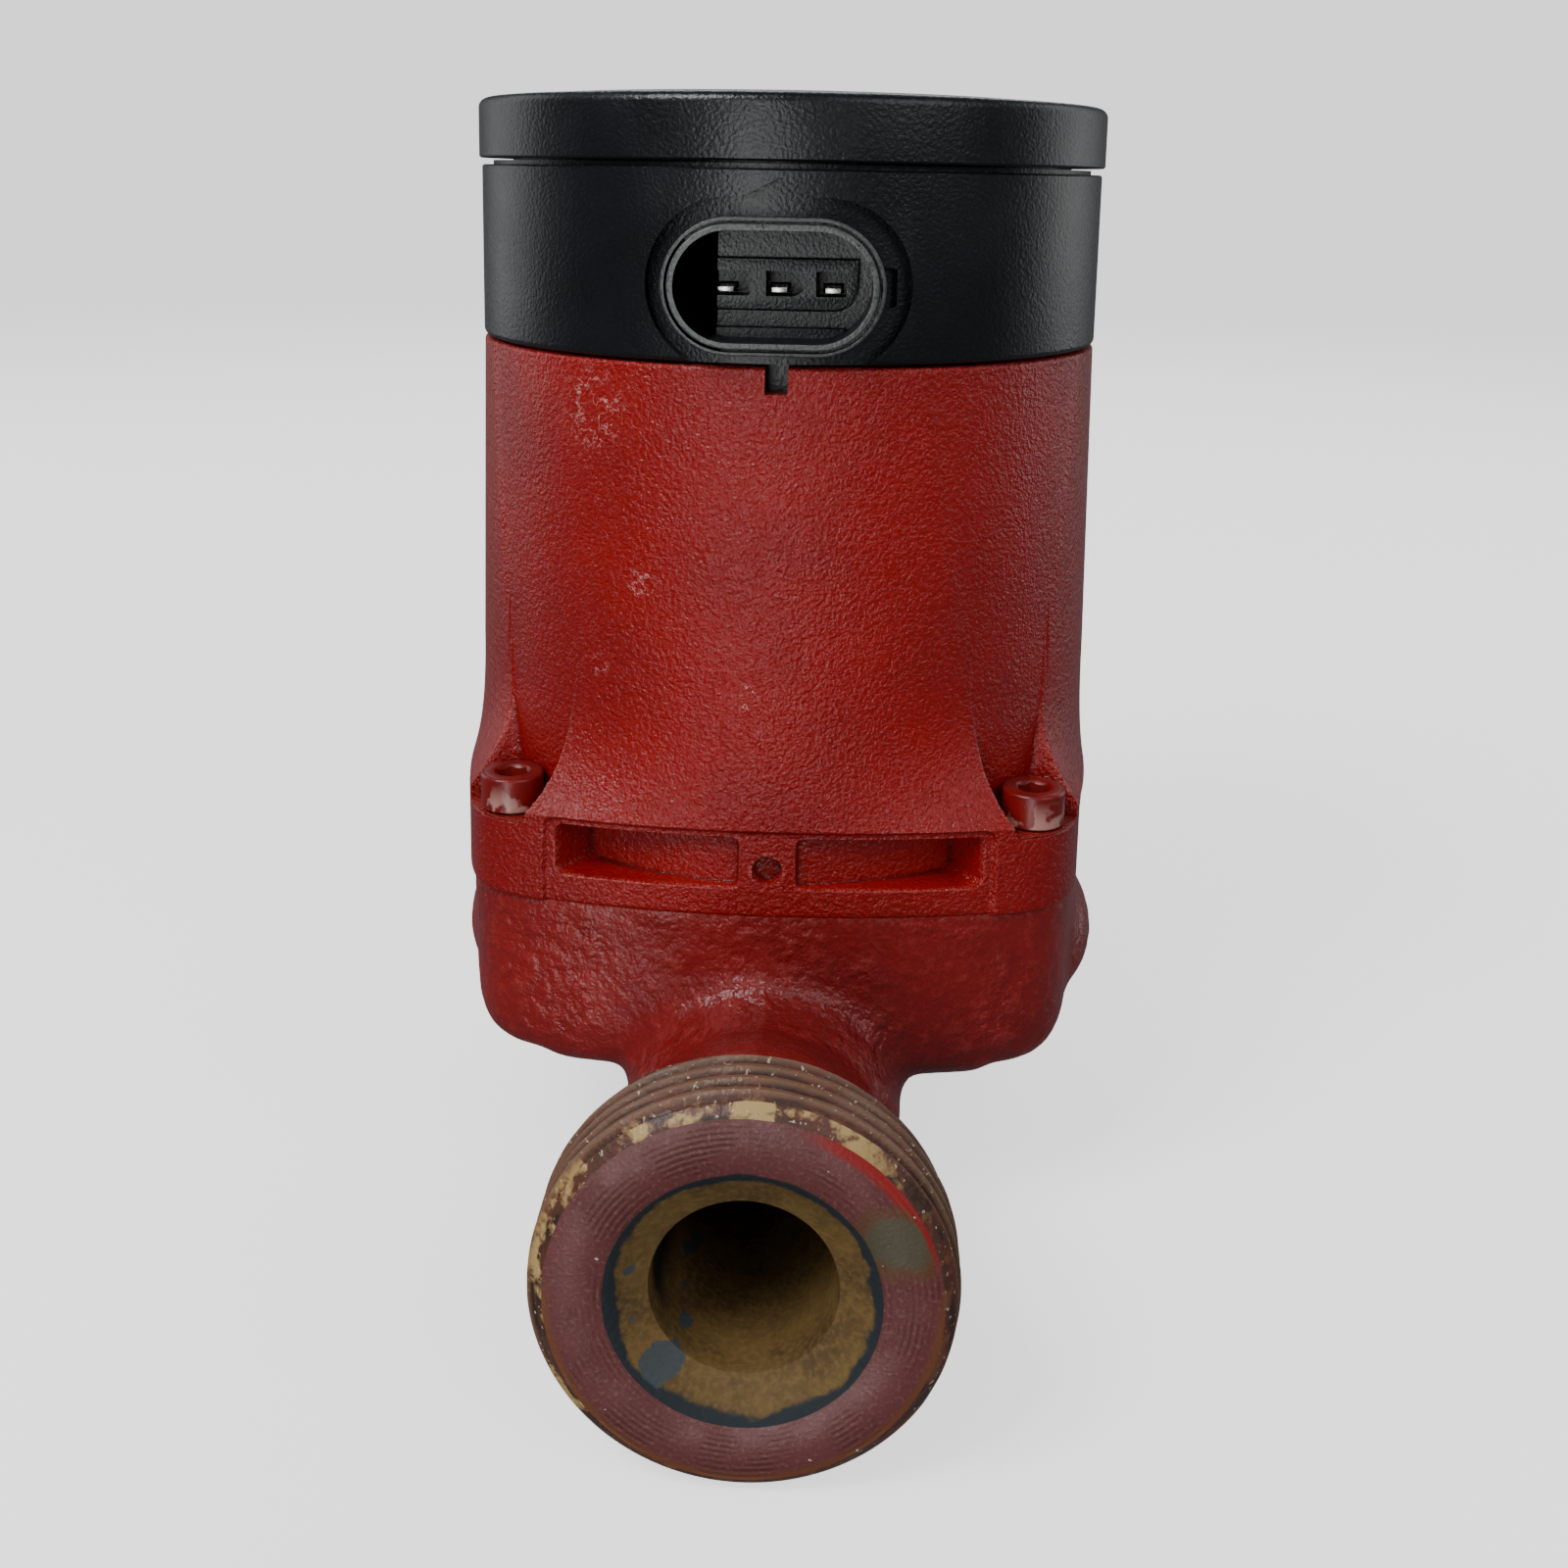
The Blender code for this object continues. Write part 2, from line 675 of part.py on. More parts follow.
def make_stator():
    core = ring("stator_core", YOKE_INNER, STACK_RADIUS, STACK_BOTTOM, STACK_TOP, FINE, LAMINATION)
    for i in range(TEETH):
        angle = FULL_TURN * i / TEETH
        stem_low = (TOOTH_TIP + MM, -TOOTH_HALF, STACK_BOTTOM)
        join(core, block("tooth", stem_low, (35 * MM, TOOTH_HALF, STACK_TOP), None, angle))
        shoe_low = (TOOTH_TIP, -6.5 * MM, STACK_BOTTOM)
        join(core, block("shoe", shoe_low, (19.4 * MM, 6.5 * MM, STACK_TOP), None, angle))
    finish(core)

    for name, bottom, top, tab_bottom in (
        ("stator_insulator_lower", 29 * MM, STACK_BOTTOM - GAP, 33.3 * MM),
        ("stator_insulator_upper", STACK_TOP + GAP, 80 * MM, STACK_TOP + GAP),
    ):
        insulator = ring(name, 33.2 * MM, 38.5 * MM, bottom, top, FINE, WHITE_PLASTIC)
        for i in range(TEETH):
            angle = FULL_TURN * i / TEETH
            low = (19.8 * MM, -4.8 * MM, tab_bottom)
            high = (34.5 * MM, 4.8 * MM, tab_bottom + MM)
            join(insulator, block("tab", low, high, None, angle))
        finish(insulator)

    for i in range(TEETH):
        angle = FULL_TURN * i / TEETH
        low = (20.4 * MM, -8.3 * MM, 28.4 * MM)
        coil = block(f"stator_coil_{i + 1}", low, (31.6 * MM, 8.3 * MM, 80.8 * MM), COPPER, angle)
        rounding = coil.modifiers.new("rounded", "BEVEL")
        rounding.width = 2.2 * MM
        rounding.segments = 1
        rounding.limit_method = "NONE"
        hole_low = (19 * MM, -5.1 * MM, 33 * MM)
        cut(coil, block("coil_window", hole_low, (33 * MM, 5.1 * MM, 76.2 * MM), None, angle))
        finish(coil)

    half = 0.5 * MM
    for i, x in enumerate(WINDING_PIN_X):
        low = (x - half, WINDING_PIN_Y - half, 80.3 * MM)
        high = (x + half, WINDING_PIN_Y + half, 109 * MM)
        finish(block(f"winding_pin_{i + 1}", low, high, TINNED))


# ------------------------------------------------------------- stator housing


def case_section(height):
    """The outside of the stator housing: a bowed square that sweeps up into a round case."""
    rise = max(0.0, min(1.0, (height - PANEL_TOP) / (SKIRT_TOP - PANEL_TOP)))
    squareness = (1 - rise) ** 2.4
    above_skirt = max(0.0, (height - SKIRT_TOP) / (CASE_TOP - SKIRT_TOP))
    round_radius = CASE_SKIRT_RADIUS + (CASE_RADIUS - CASE_SKIRT_RADIUS) * above_skirt

    def radius_at(angle):
        if rise == 0:
            return flange_radius(angle)
        return round_radius + max(flange_radius(angle) - round_radius, 0.0) * squareness

    return section(height, radius_at)


def pin_slot(bottom, top):
    """Cutter for the slot that the three winding pins come up through."""
    low = (WINDING_PIN_X[0] - 2.5 * MM, WINDING_PIN_Y - 2 * MM, bottom)
    high = (WINDING_PIN_X[-1] + 2.5 * MM, WINDING_PIN_Y + MM, top)
    return block("pin_slot", low, high)


def make_stator_housing():
    rises = (0.12, 0.32, 0.6)
    heights = [PANEL_TOP + (SKIRT_TOP - PANEL_TOP) * rise for rise in rises]
    rows = [CASE_BOTTOM, PANEL_TOP] + heights + [SKIRT_TOP, CASE_TOP]
    piece = loft("stator_housing", [case_section(row) for row in rows], COATED_ALUMINIUM)

    below = CASE_BOTTOM - MM
    above = CASE_TOP + MM
    cut(piece, disc("stator_bore", CASE_BORE, below, CASE_PLATE_BOTTOM, FINE))
    cut(piece, disc("box_seat", CASE_BORE, CASE_PLATE_TOP, above, FINE))
    for x, y in corners(BOX_SCREW_REACH):
        join(piece, disc("box_boss", 3.4 * MM, 90 * MM, CASE_TOP - GAP, COARSE, None, (x, y)))
        cut(piece, disc("box_screw_hole", 2.2 * MM, 87 * MM, above, SMALL, None, (x, y)))
    cut(piece, pin_slot(87 * MM, 94 * MM))
    notch_low = (-1.4 * MM, -47 * MM, 93.2 * MM)
    cut(piece, block("rim_notch", notch_low, (1.5 * MM, -38 * MM, above)))

    for x, y in corners(SCREW_REACH):
        hole_top = LUG_TOP + MM
        cut(piece, disc("screw_hole", SCREW_HOLE_RADIUS, below, hole_top, COARSE, None, (x, y)))
        cut(piece, disc("screw_scallop", 5.6 * MM, LUG_TOP, 46 * MM, COARSE, None, (x, y)))
    for quarter in range(4):
        angle = quarter * math.pi / 2
        for side in (1, -1):
            ends = sorted(side * end for end in POCKET_ENDS)
            low = (ends[0], -50 * MM, POCKET_BOTTOM)
            high = (ends[1], -25 * MM, POCKET_TOP)
            pocket = block("pocket", low, high, None, angle)
            wall_low = POCKET_BOTTOM - MM
            wall = disc("pocket_wall", POCKET_FLOOR_RADIUS, wall_low, PANEL_TOP, FINE)
            cut(pocket, wall)
            cut(piece, pocket)
        drain = disc("drain_hole", DRAIN_RADIUS, 38 * MM, 50 * MM, SMALL)
        drain.rotation_euler = (math.pi / 2, 0, angle)
        drain.location = (0, 0, DRAIN_HEIGHT)
        cut(piece, drain)
    finish(piece)


def make_flange_screws():
    for i, (x, y) in enumerate(corners(SCREW_REACH)):
        screw = turned(
            f"flange_screw_{i + 1}",
            [
                (0, SCREW_HEAD_TOP),
                (SCREW_HEAD_RADIUS - 0.45 * MM, SCREW_HEAD_TOP),
                (SCREW_HEAD_RADIUS, SCREW_HEAD_TOP - 0.5 * MM),
                (SCREW_HEAD_RADIUS, LUG_TOP + GAP),
                (2.5 * MM, LUG_TOP + GAP),
                (2.5 * MM, 11.5 * MM),
                (0, 11.5 * MM),
            ],
            COARSE,
            PAINTED_STEEL,
        )
        screw.location = (x, y, 0)
        cut(screw, disc("hexagon", 2.3 * MM, 37 * MM, 41 * MM, 6, None, (x, y)))
        finish(screw)


# ---------------------------------------------------------------- control box


def pin_places():
    """X of the three mains blades."""
    return [SOCKET_CENTRE[0] + PIN_SHIFT + PIN_PITCH * (i - 1) for i in range(3)]


def make_control_box_base():
    piece = turned(
        "control_box_base",
        [
            (0, BOX_FLOOR),
            (BOX_INNER, BOX_FLOOR),
            (BOX_INNER, BOX_RIM + 0.6 * MM),
            (43.5 * MM, BOX_RIM + 0.6 * MM),
            (43.5 * MM, BOX_RIM),
            (BOX_RADIUS, BOX_RIM),
            (BOX_RADIUS, BOX_BOTTOM + 1.2 * MM),
            (44.1 * MM, BOX_BOTTOM),
            (39.6 * MM, BOX_BOTTOM),
            (39.6 * MM, 92.6 * MM),
            (37.8 * MM, 92.6 * MM),
            (37.8 * MM, BOX_BOTTOM),
            (0, BOX_BOTTOM),
        ],
        FINE,
        BLACK_PLASTIC,
    )
    outside = stadium(SOCKET_CENTRE, SOCKET_HALF_WIDTH, SOCKET_HALF_HEIGHT)
    inside = stadium(
        SOCKET_CENTRE, SOCKET_HALF_WIDTH - SOCKET_WALL, SOCKET_HALF_HEIGHT - SOCKET_WALL
    )
    join(piece, plate("socket_outside", outside, SOCKET_FRONT, SOCKET_BACK, None, "Y"))
    cut(piece, plate("socket_inside", inside, SOCKET_FRONT - MM, SOCKET_BACK - 2 * MM, None, "Y"))
    x, z = SOCKET_CENTRE
    core_low = (x - 9.6 * MM, PIN_BLOCK_FRONT, z - 3.4 * MM)
    core_high = (x + 10.5 * MM, SOCKET_BACK - MM, z + 3.1 * MM)
    latch_low = (x + SOCKET_HALF_WIDTH - 0.8 * MM, SOCKET_FRONT + MM, z - 2.6 * MM)
    latch_high = (x + SOCKET_HALF_WIDTH + 2.4 * MM, -41 * MM, z + 2.4 * MM)
    join(piece, block("pin_block", core_low, core_high), block("latch", latch_low, latch_high))
    for place_x in pin_places():
        well_low = (place_x - 2.1 * MM, -38 * MM, z - 2 * MM)
        cut(piece, block("pin_well", well_low, (place_x + 2.1 * MM, -30.5 * MM, z + 1.5 * MM)))
        pass_low = (place_x - 1.2 * MM, -32 * MM, z - 1.6 * MM)
        cut(piece, block("pin_pass", pass_low, (place_x + 1.2 * MM, -28 * MM, z - 0.2 * MM)))
    for x, y in corners(BOX_SCREW_REACH):
        cut(piece, disc("box_screw_pass", 2.2 * MM, 95 * MM, 100 * MM, SMALL, None, (x, y)))
    for x, y in board_posts():
        join(piece, disc("post", 2.7 * MM, 98 * MM, BOARD_BOTTOM - GAP, COARSE, None, (x, y)))
        cut(piece, disc("post_hole", 1.5 * MM, 100.5 * MM, 105 * MM, SMALL, None, (x, y)))
    cut(piece, pin_slot(95 * MM, 101 * MM))
    finish(piece)
    for name, place_x in zip(("live", "earth", "neutral"), pin_places()):
        z = SOCKET_CENTRE[1]
        low = (place_x - 0.9 * MM, -36.5 * MM, z - 1.3 * MM)
        high = (place_x + 0.9 * MM, -27.4 * MM, z - 0.5 * MM)
        finish(block(f"mains_pin_{name}", low, high, TINNED))


def board_posts():
    return [(-31 * MM, -2 * MM), (31 * MM, -2 * MM), (0, 24 * MM)]


def make_board():
    outline = []
    board_radius = 41.5 * MM
    straight = -27 * MM
    limit = math.asin(straight / board_radius)
    steps = 28
    for i in range(steps + 1):
        angle = limit + (math.pi - 2 * limit) * i / steps
        outline.append((board_radius * math.cos(angle), board_radius * math.sin(angle)))
    board = plate("circuit_board", outline, BOARD_BOTTOM, BOARD_TOP, BOARD_GREEN)
    half = 0.9 * MM
    for x in WINDING_PIN_X:
        low = (x - half, WINDING_PIN_Y - half, 103 * MM)
        cut(board, block("winding_pin_hole", low, (x + half, WINDING_PIN_Y + half, 107 * MM)))
    for x, y in board_posts():
        cut(board, disc("board_screw_hole", 1.6 * MM, 103 * MM, 107 * MM, SMALL, None, (x, y)))
    finish(board)
    for i, (x, y) in enumerate(board_posts()):
        screw = turned(
            f"board_screw_{i + 1}",
            [
                (0, 107.7 * MM),
                (2 * MM, 107.7 * MM),
                (2.6 * MM, 107 * MM),
                (2.6 * MM, BOARD_TOP + GAP),
                (1.2 * MM, BOARD_TOP + GAP),
                (1.2 * MM, 101 * MM),
                (0, 101 * MM),
            ],
            SMALL,
            ZINC_STEEL,
        )
        screw.location = (x, y, 0)
        finish(screw)


def make_electronics():
    foot = BOARD_TOP + GAP
    for i, y in enumerate((14 * MM, -5 * MM)):
        can = turned(
            f"bulk_capacitor_{i + 1}",
            [
                (0, 125 * MM),
                (7.4 * MM, 125 * MM),
                (8 * MM, 124.4 * MM),
                (8 * MM, 108.4 * MM),
                (7.6 * MM, 107.9 * MM),
                (8 * MM, 107.4 * MM),
                (8 * MM, foot),
                (0, foot),
            ],
            MEDIUM,
            BLACK_PLASTIC,
        )
        can.location = (-19 * MM, y, 0)
        finish(can)
    choke = turned(
        "choke",
        [
            (7.5 * MM, 114 * MM),
            (9.5 * MM, 112 * MM),
            (9.5 * MM, foot + 2 * MM),
            (7.5 * MM, foot),
            (5.6 * MM, foot),
            (4 * MM, foot + 2 * MM),
            (4 * MM, 112 * MM),
            (5.6 * MM, 114 * MM),
        ],
        MEDIUM,
        COPPER,
    )
    choke.location = (16 * MM, 12 * MM, 0)
    finish(choke)
    low = (4 * MM, -19 * MM, foot)
    finish(block("filter_capacitor", low, (22 * MM, -11 * MM, 118 * MM), WHITE_PLASTIC))
    low = (-12 * MM, -12 * MM, 100.9 * MM)
    finish(block("power_module", low, (12 * MM, 4 * MM, BOARD_BOTTOM - GAP), CARBON))
    low = (-13 * MM, -13 * MM, BOX_FLOOR + GAP)
    finish(block("thermal_pad", low, (13 * MM, 5 * MM, 100.6 * MM), RUBBER))
    for i, (x, y) in enumerate(corners(BOX_SCREW_REACH)):
        screw = turned(
            f"control_box_screw_{i + 1}",
            [
                (0, 102.4 * MM),
                (2.8 * MM, 102.4 * MM),
                (3.5 * MM, 101.6 * MM),
                (3.5 * MM, BOX_FLOOR + GAP),
                (1.9 * MM, BOX_FLOOR + GAP),
                (1.9 * MM, 89.5 * MM),
                (0, 89.5 * MM),
            ],
            COARSE,
            ZINC_STEEL,
        )
        screw.location = (x, y, 0)
        finish(screw)


def make_control_box_lid():
    inner = BOX_INNER - GAP
    finish(ring("control_box_seal", 41 * MM, inner, 118.8 * MM, 120.6 * MM, FINE, RUBBER))
    lid = turned(
        "control_box_lid",
        [
            (0, LID_TOP),
            (22 * MM, LID_TOP - 0.4 * MM),
            (38 * MM, LID_TOP - 1.1 * MM),
            (LID_RADIUS - 1.5 * MM, LID_EDGE),
            (LID_RADIUS - 0.4 * MM, LID_EDGE - 0.5 * MM),
            (LID_RADIUS, LID_EDGE - 1.6 * MM),
            (LID_RADIUS, LID_BOTTOM),
            (40.7 * MM, LID_BOTTOM),
            (40.7 * MM, 117.6 * MM),
            (38.6 * MM, 117.6 * MM),
            (38.6 * MM, LID_EDGE - 2.2 * MM),
            (0, LID_EDGE - 1.4 * MM),
        ],
        FINE,
        BLACK_PLASTIC,
    )
    finish(lid)


make_pump_housing()
make_wet_end_rings()
make_rotor()
make_stator()
make_stator_housing()
make_flange_screws()
make_control_box_base()
make_board()
make_electronics()
make_control_box_lid()
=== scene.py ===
"""Looks of an in-line wet-rotor circulator pump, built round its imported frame.

Metres, +Z up along the motor axis, Y along the pipe, and -Y is the side with the mains socket.
"""

import json
import math

import bmesh
import bpy
import numpy as np
from mathutils import Matrix, Vector, noise


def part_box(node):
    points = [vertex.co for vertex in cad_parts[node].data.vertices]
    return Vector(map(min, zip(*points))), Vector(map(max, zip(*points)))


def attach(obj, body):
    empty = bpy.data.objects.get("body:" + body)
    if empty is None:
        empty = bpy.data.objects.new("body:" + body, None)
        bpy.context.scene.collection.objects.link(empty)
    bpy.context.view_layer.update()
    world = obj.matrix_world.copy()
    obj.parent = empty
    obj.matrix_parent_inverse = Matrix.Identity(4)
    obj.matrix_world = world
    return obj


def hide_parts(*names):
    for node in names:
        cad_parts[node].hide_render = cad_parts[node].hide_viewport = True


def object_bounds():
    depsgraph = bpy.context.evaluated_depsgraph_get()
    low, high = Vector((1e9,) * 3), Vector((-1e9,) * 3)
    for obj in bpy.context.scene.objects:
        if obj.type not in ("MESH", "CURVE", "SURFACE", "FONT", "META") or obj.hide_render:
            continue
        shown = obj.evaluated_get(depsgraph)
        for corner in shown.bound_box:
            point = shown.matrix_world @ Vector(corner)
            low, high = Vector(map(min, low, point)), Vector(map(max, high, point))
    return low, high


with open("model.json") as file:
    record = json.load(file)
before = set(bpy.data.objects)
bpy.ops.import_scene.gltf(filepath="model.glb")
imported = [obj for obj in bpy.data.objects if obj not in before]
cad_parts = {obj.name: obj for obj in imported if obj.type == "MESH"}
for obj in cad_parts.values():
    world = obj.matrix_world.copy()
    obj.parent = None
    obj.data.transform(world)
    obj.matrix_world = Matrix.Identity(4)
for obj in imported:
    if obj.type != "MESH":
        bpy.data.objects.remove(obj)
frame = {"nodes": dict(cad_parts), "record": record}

MM = 0.001
TAU = 2 * math.pi
GAP = 0.3 * MM
CAD_BOX = [list(corner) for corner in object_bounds()]

# Heights and radii that the frame gives
CASE_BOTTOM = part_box("stator_housing")[0].z
CASE_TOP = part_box("stator_housing")[1].z
IRON_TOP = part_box("pump_housing")[1].z
PORT_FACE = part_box("pump_housing")[1].y
THREAD_CREST = -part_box("pump_housing")[0].z
LID_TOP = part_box("control_box_lid")[1].z
SCREW_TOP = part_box("flange_screw_1")[1].z
SCREW_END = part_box("flange_screw_1")[0].z
SCREW_CENTRES = [sum(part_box(f"flange_screw_{i}"), Vector()) / 2 for i in range(1, 5)]
SCREW_REACH = abs(SCREW_CENTRES[0].x)
BLADES = ["mains_pin_live", "mains_pin_earth", "mains_pin_neutral"]

# Stator housing
LUG_HALF = 46 * MM  # from the motor axis to the middle of each bowed side
SIDE_BOW = 140 * MM
CORNER_SHARPNESS = 20
CASE_RADIUS = 45 * MM
SKIRT_RADIUS = 45.7 * MM
CASE_BORE = 40 * MM
PLATE_BOTTOM = 88.5 * MM
PLATE_TOP = 92 * MM
LEDGE = 34.5 * MM  # where the screw heads stand
SKIRT_BOTTOM = 36 * MM
SKIRT_TOP = 52 * MM
PANEL_HALF = 30.3 * MM
PANEL_DEPTH = 0.55 * MM
POCKET_MIDDLE = 16.25 * MM
POCKET_HALF = 12.35 * MM
POCKET_BOTTOM = 28 * MM
POCKET_TOP = 34.7 * MM
POCKET_FLOOR = 44.3 * MM
HOLE_HEIGHT = 30.3 * MM
HOLE_RADIUS = 1.9 * MM
HOLE_FLOOR = 43.6 * MM
SCALLOP_RADIUS = 6 * MM
SCALLOP_SPREAD = 0.18  # how fast the hollow behind a screw opens with height

# Pump housing
FLANGE_HALF = 45.4 * MM
THREAD_ROOT = 22.5 * MM
THREAD_PITCH = 2.309 * MM
THREAD_TURNS = 4
PORT_CHAMFER = 1.9 * MM
COUNTERSINK = 15.2 * MM
COUNTERSINK_DEPTH = 2.3 * MM
BORE = 10.4 * MM
BORE_END = 56 * MM
INLET_BORE_END = 60 * MM
NECK = 17.8 * MM
BELLY = 20 * MM
THREAD_END = PORT_FACE - PORT_CHAMFER - THREAD_TURNS * THREAD_PITCH

# Control box
BOX_BOTTOM = 96.9 * MM
BOX_RIM = 120.9 * MM
BOX_RADIUS = 45.1 * MM
BOX_INNER = 42.6 * MM
LID_BOTTOM = 121.8 * MM
LID_RADIUS = 45.5 * MM
SOCKET = (-0.5 * MM, 106.6 * MM)
SOCKET_HALF_WIDTH = 13.9 * MM
SOCKET_HALF_HEIGHT = 8.5 * MM
SOCKET_FRONT = -47 * MM
PIN_BLOCK_FRONT = -37 * MM


# ---------------------------------------------------------------- shape tools


def new_piece(name, shape, *looks):
    """Makes an object from a bmesh, with its faces outwards and the given looks."""
    bmesh.ops.remove_doubles(shape, verts=shape.verts, dist=1e-7)
    bmesh.ops.recalc_face_normals(shape, faces=shape.faces)
    mesh = bpy.data.meshes.new(name)
    shape.to_mesh(mesh)
    shape.free()
    piece = bpy.data.objects.new(name, mesh)
    bpy.context.scene.collection.objects.link(piece)
    for look in looks:
        mesh.materials.append(look)
    return piece


def spun(profile, steps, closed=False):
    """Spins (radius, height) points round Z, as a bmesh. A closed profile stays off the axis."""
    shape = bmesh.new()
    verts = [shape.verts.new((radius, 0, height)) for radius, height in profile]
    edges = [shape.edges.new(pair) for pair in zip(verts, verts[1:])]
    if closed:
        edges.append(shape.edges.new((verts[-1], verts[0])))
    bmesh.ops.spin(
        shape, geom=verts + edges, cent=(0, 0, 0), axis=(0, 0, 1), angle=TAU, steps=steps, use_merge=True
    )
    bmesh.ops.remove_doubles(shape, verts=shape.verts, dist=1e-7)
    bmesh.ops.recalc_face_normals(shape, faces=shape.faces)
    return shape


def turn_to_pipe(shape):
    """Lays a spun shape along the pipe: its top goes to the front port."""
    bmesh.ops.rotate(shape, verts=shape.verts, cent=(0, 0, 0), matrix=Matrix.Rotation(math.pi / 2, 3, "X"))
    return shape


def moved(shape, where):
    bmesh.ops.translate(shape, verts=shape.verts, vec=where)
    return shape


def boxed(low, high, rounding=0.0, segments=3):
    """A box between two corners, with rounded edges, as a bmesh."""
    shape = bmesh.new()
    bmesh.ops.create_cube(shape, size=1.0)
    size = [high[i] - low[i] for i in range(3)]
    middle = [(high[i] + low[i]) / 2 for i in range(3)]
    bmesh.ops.scale(shape, vec=size, verts=shape.verts)
    bmesh.ops.translate(shape, vec=middle, verts=shape.verts)
    if rounding:
        soften(shape, shape.edges[:], rounding, segments)
    return shape


def soften(shape, edges, width, segments=3):
    bmesh.ops.bevel(
        shape, geom=edges, offset=width, offset_type="OFFSET", segments=segments,
        profile=0.5, affect="EDGES", clamp_overlap=True, material=-1,
    )


def sharp_edges(shape, angle=40):
    limit = math.radians(angle)
    return [e for e in shape.edges if len(e.link_faces) == 2 and e.calc_face_angle() > limit]


def slab(outline, front, back, rounding=0.0):
    """An (x, z) outline given depth along Y, with its front edge rounded, as a bmesh."""
    shape = bmesh.new()
    verts = [shape.verts.new((x, front, z)) for x, z in outline]
    face = shape.faces.new(verts)
    pushed = bmesh.ops.extrude_face_region(shape, geom=[face])
    new = [v for v in pushed["geom"] if isinstance(v, bmesh.types.BMVert)]
    bmesh.ops.translate(shape, verts=new, vec=(0, back - front, 0))
    bmesh.ops.recalc_face_normals(shape, faces=shape.faces)
    if rounding:
        rim = [e for e in shape.edges if all(abs(v.co.y - front) < 1e-7 for v in e.verts)]
        soften(shape, rim, rounding)
    return shape


def stadium(half_width, half_height, per_end=28, centre=SOCKET):
    """A slot outline with round ends."""
    reach = half_width - half_height
    points = []
    for side in (1, -1):
        for step in range(per_end + 1):
            angle = math.pi * (step / per_end - 0.5)
            x = side * (reach + half_height * math.cos(angle))
            points.append((centre[0] + x, centre[1] + side * half_height * math.sin(angle)))
    return points


def gathered(*shapes):
    """Several bmeshes in one object, to cut or join with in one go."""
    whole = bmesh.new()
    for shape in shapes:
        mesh = bpy.data.meshes.new("part")
        shape.to_mesh(mesh)
        shape.free()
        whole.from_mesh(mesh)
        bpy.data.meshes.remove(mesh)
    mesh = bpy.data.meshes.new("tool")
    whole.to_mesh(mesh)
    whole.free()
    tool = bpy.data.objects.new("tool", mesh)
    bpy.context.scene.collection.objects.link(tool)
    return tool


def settle(piece):
    """Applies a piece's modifiers to its mesh."""
    bpy.context.view_layer.update()
    evaluated = piece.evaluated_get(bpy.context.evaluated_depsgraph_get())
    mesh = bpy.data.meshes.new_from_object(evaluated)
    mesh.name = piece.name
    piece.modifiers.clear()
    old = piece.data
    piece.data = mesh
    bpy.data.meshes.remove(old)
    return piece


def combine(piece, operation, *shapes):
    """Joins shapes to a piece or cuts them from it, and keeps only the result."""
    tool = gathered(*shapes)
    change = piece.modifiers.new("combine", "BOOLEAN")
    change.operation = operation
    change.solver = "EXACT"
    change.use_self = operation == "UNION"
    change.object = tool
    settle(piece)
    bpy.data.objects.remove(tool, do_unlink=True)
    return piece


def points_of(mesh):
    co = np.empty(len(mesh.vertices) * 3)
    mesh.vertices.foreach_get("co", co)
    return co.reshape(-1, 3)


def set_points(mesh, co):
    mesh.vertices.foreach_set("co", co.astype(np.float32).ravel())
    mesh.update()


def normals_of(mesh):
    n = np.empty(len(mesh.vertices) * 3)
    mesh.vertices.foreach_get("normal", n)
    return n.reshape(-1, 3)


def neighbours_mean(mesh, values):
    """The mean of each vertex's neighbours' values."""
    pairs = np.empty(len(mesh.edges) * 2, np.int64)
    mesh.edges.foreach_get("vertices", pairs)
    pairs = pairs.reshape(-1, 2)
    count = np.bincount(pairs.ravel(), minlength=len(values)).astype(float)
    total = np.zeros_like(values)
    np.add.at(total, pairs[:, 0], values[pairs[:, 1]])
    np.add.at(total, pairs[:, 1], values[pairs[:, 0]])
    return total / np.maximum(count, 1).reshape((-1,) + (1,) * (values.ndim - 1))


def mark_edges(piece):
    """Stores how sharply each vertex bends outwards or inwards, for edge wear, partly a painted highlight, and for
    painted shade in the hollows.
    """
    mesh = piece.data
    co, n = points_of(mesh), normals_of(mesh)
    pairs = np.empty(len(mesh.edges) * 2, np.int64)
    mesh.edges.foreach_get("vertices", pairs)
    a, b = pairs.reshape(-1, 2).T
    along = co[b] - co[a]
    bend = ((n[b] - n[a]) * along).sum(1) / np.maximum((along**2).sum(1), (0.25 * MM) ** 2)
    for name, way in (("proud", 1), ("hollow", -1)):
        sharpest = np.zeros(len(co))
        for end in (a, b):
            np.maximum.at(sharpest, end, way * bend)
        # nothing for a radius over 3 mm, all of it under 0.6 mm
        mark = smooth(sharpest, 0.33 / MM, 1.6 / MM)
        mark = 0.5 * mark + 0.5 * neighbours_mean(mesh, mark)
        layer = mesh.attributes.new(name, "FLOAT", "POINT")
        layer.data.foreach_set("value", mark.astype(np.float32))


def finish(piece, body, slot, *nodes, smooth=35):
    """Shades a piece, lets it ride on a body and stand for its CAD nodes."""
    piece.data.shade_smooth()
    piece.data.set_sharp_from_angle(angle=math.radians(smooth))
    mark_edges(piece)
    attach(piece, body)
    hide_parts(*nodes)


# ------------------------------------------------------------------ materials


def colour(code):
    """An sRGB hex code as a linear colour."""
    values = [int(code[i:i + 2], 16) / 255 for i in (1, 3, 5)]
    return tuple(v / 12.92 if v <= 0.04045 else ((v + 0.055) / 1.055) ** 2.4 for v in values) + (1.0,)


SOFT = {"interpolation_type": "SMOOTHSTEP"}
TIMES = {"operation": "MULTIPLY"}
PLUS = {"operation": "ADD"}
BLEND = {"data_type": "RGBA"}


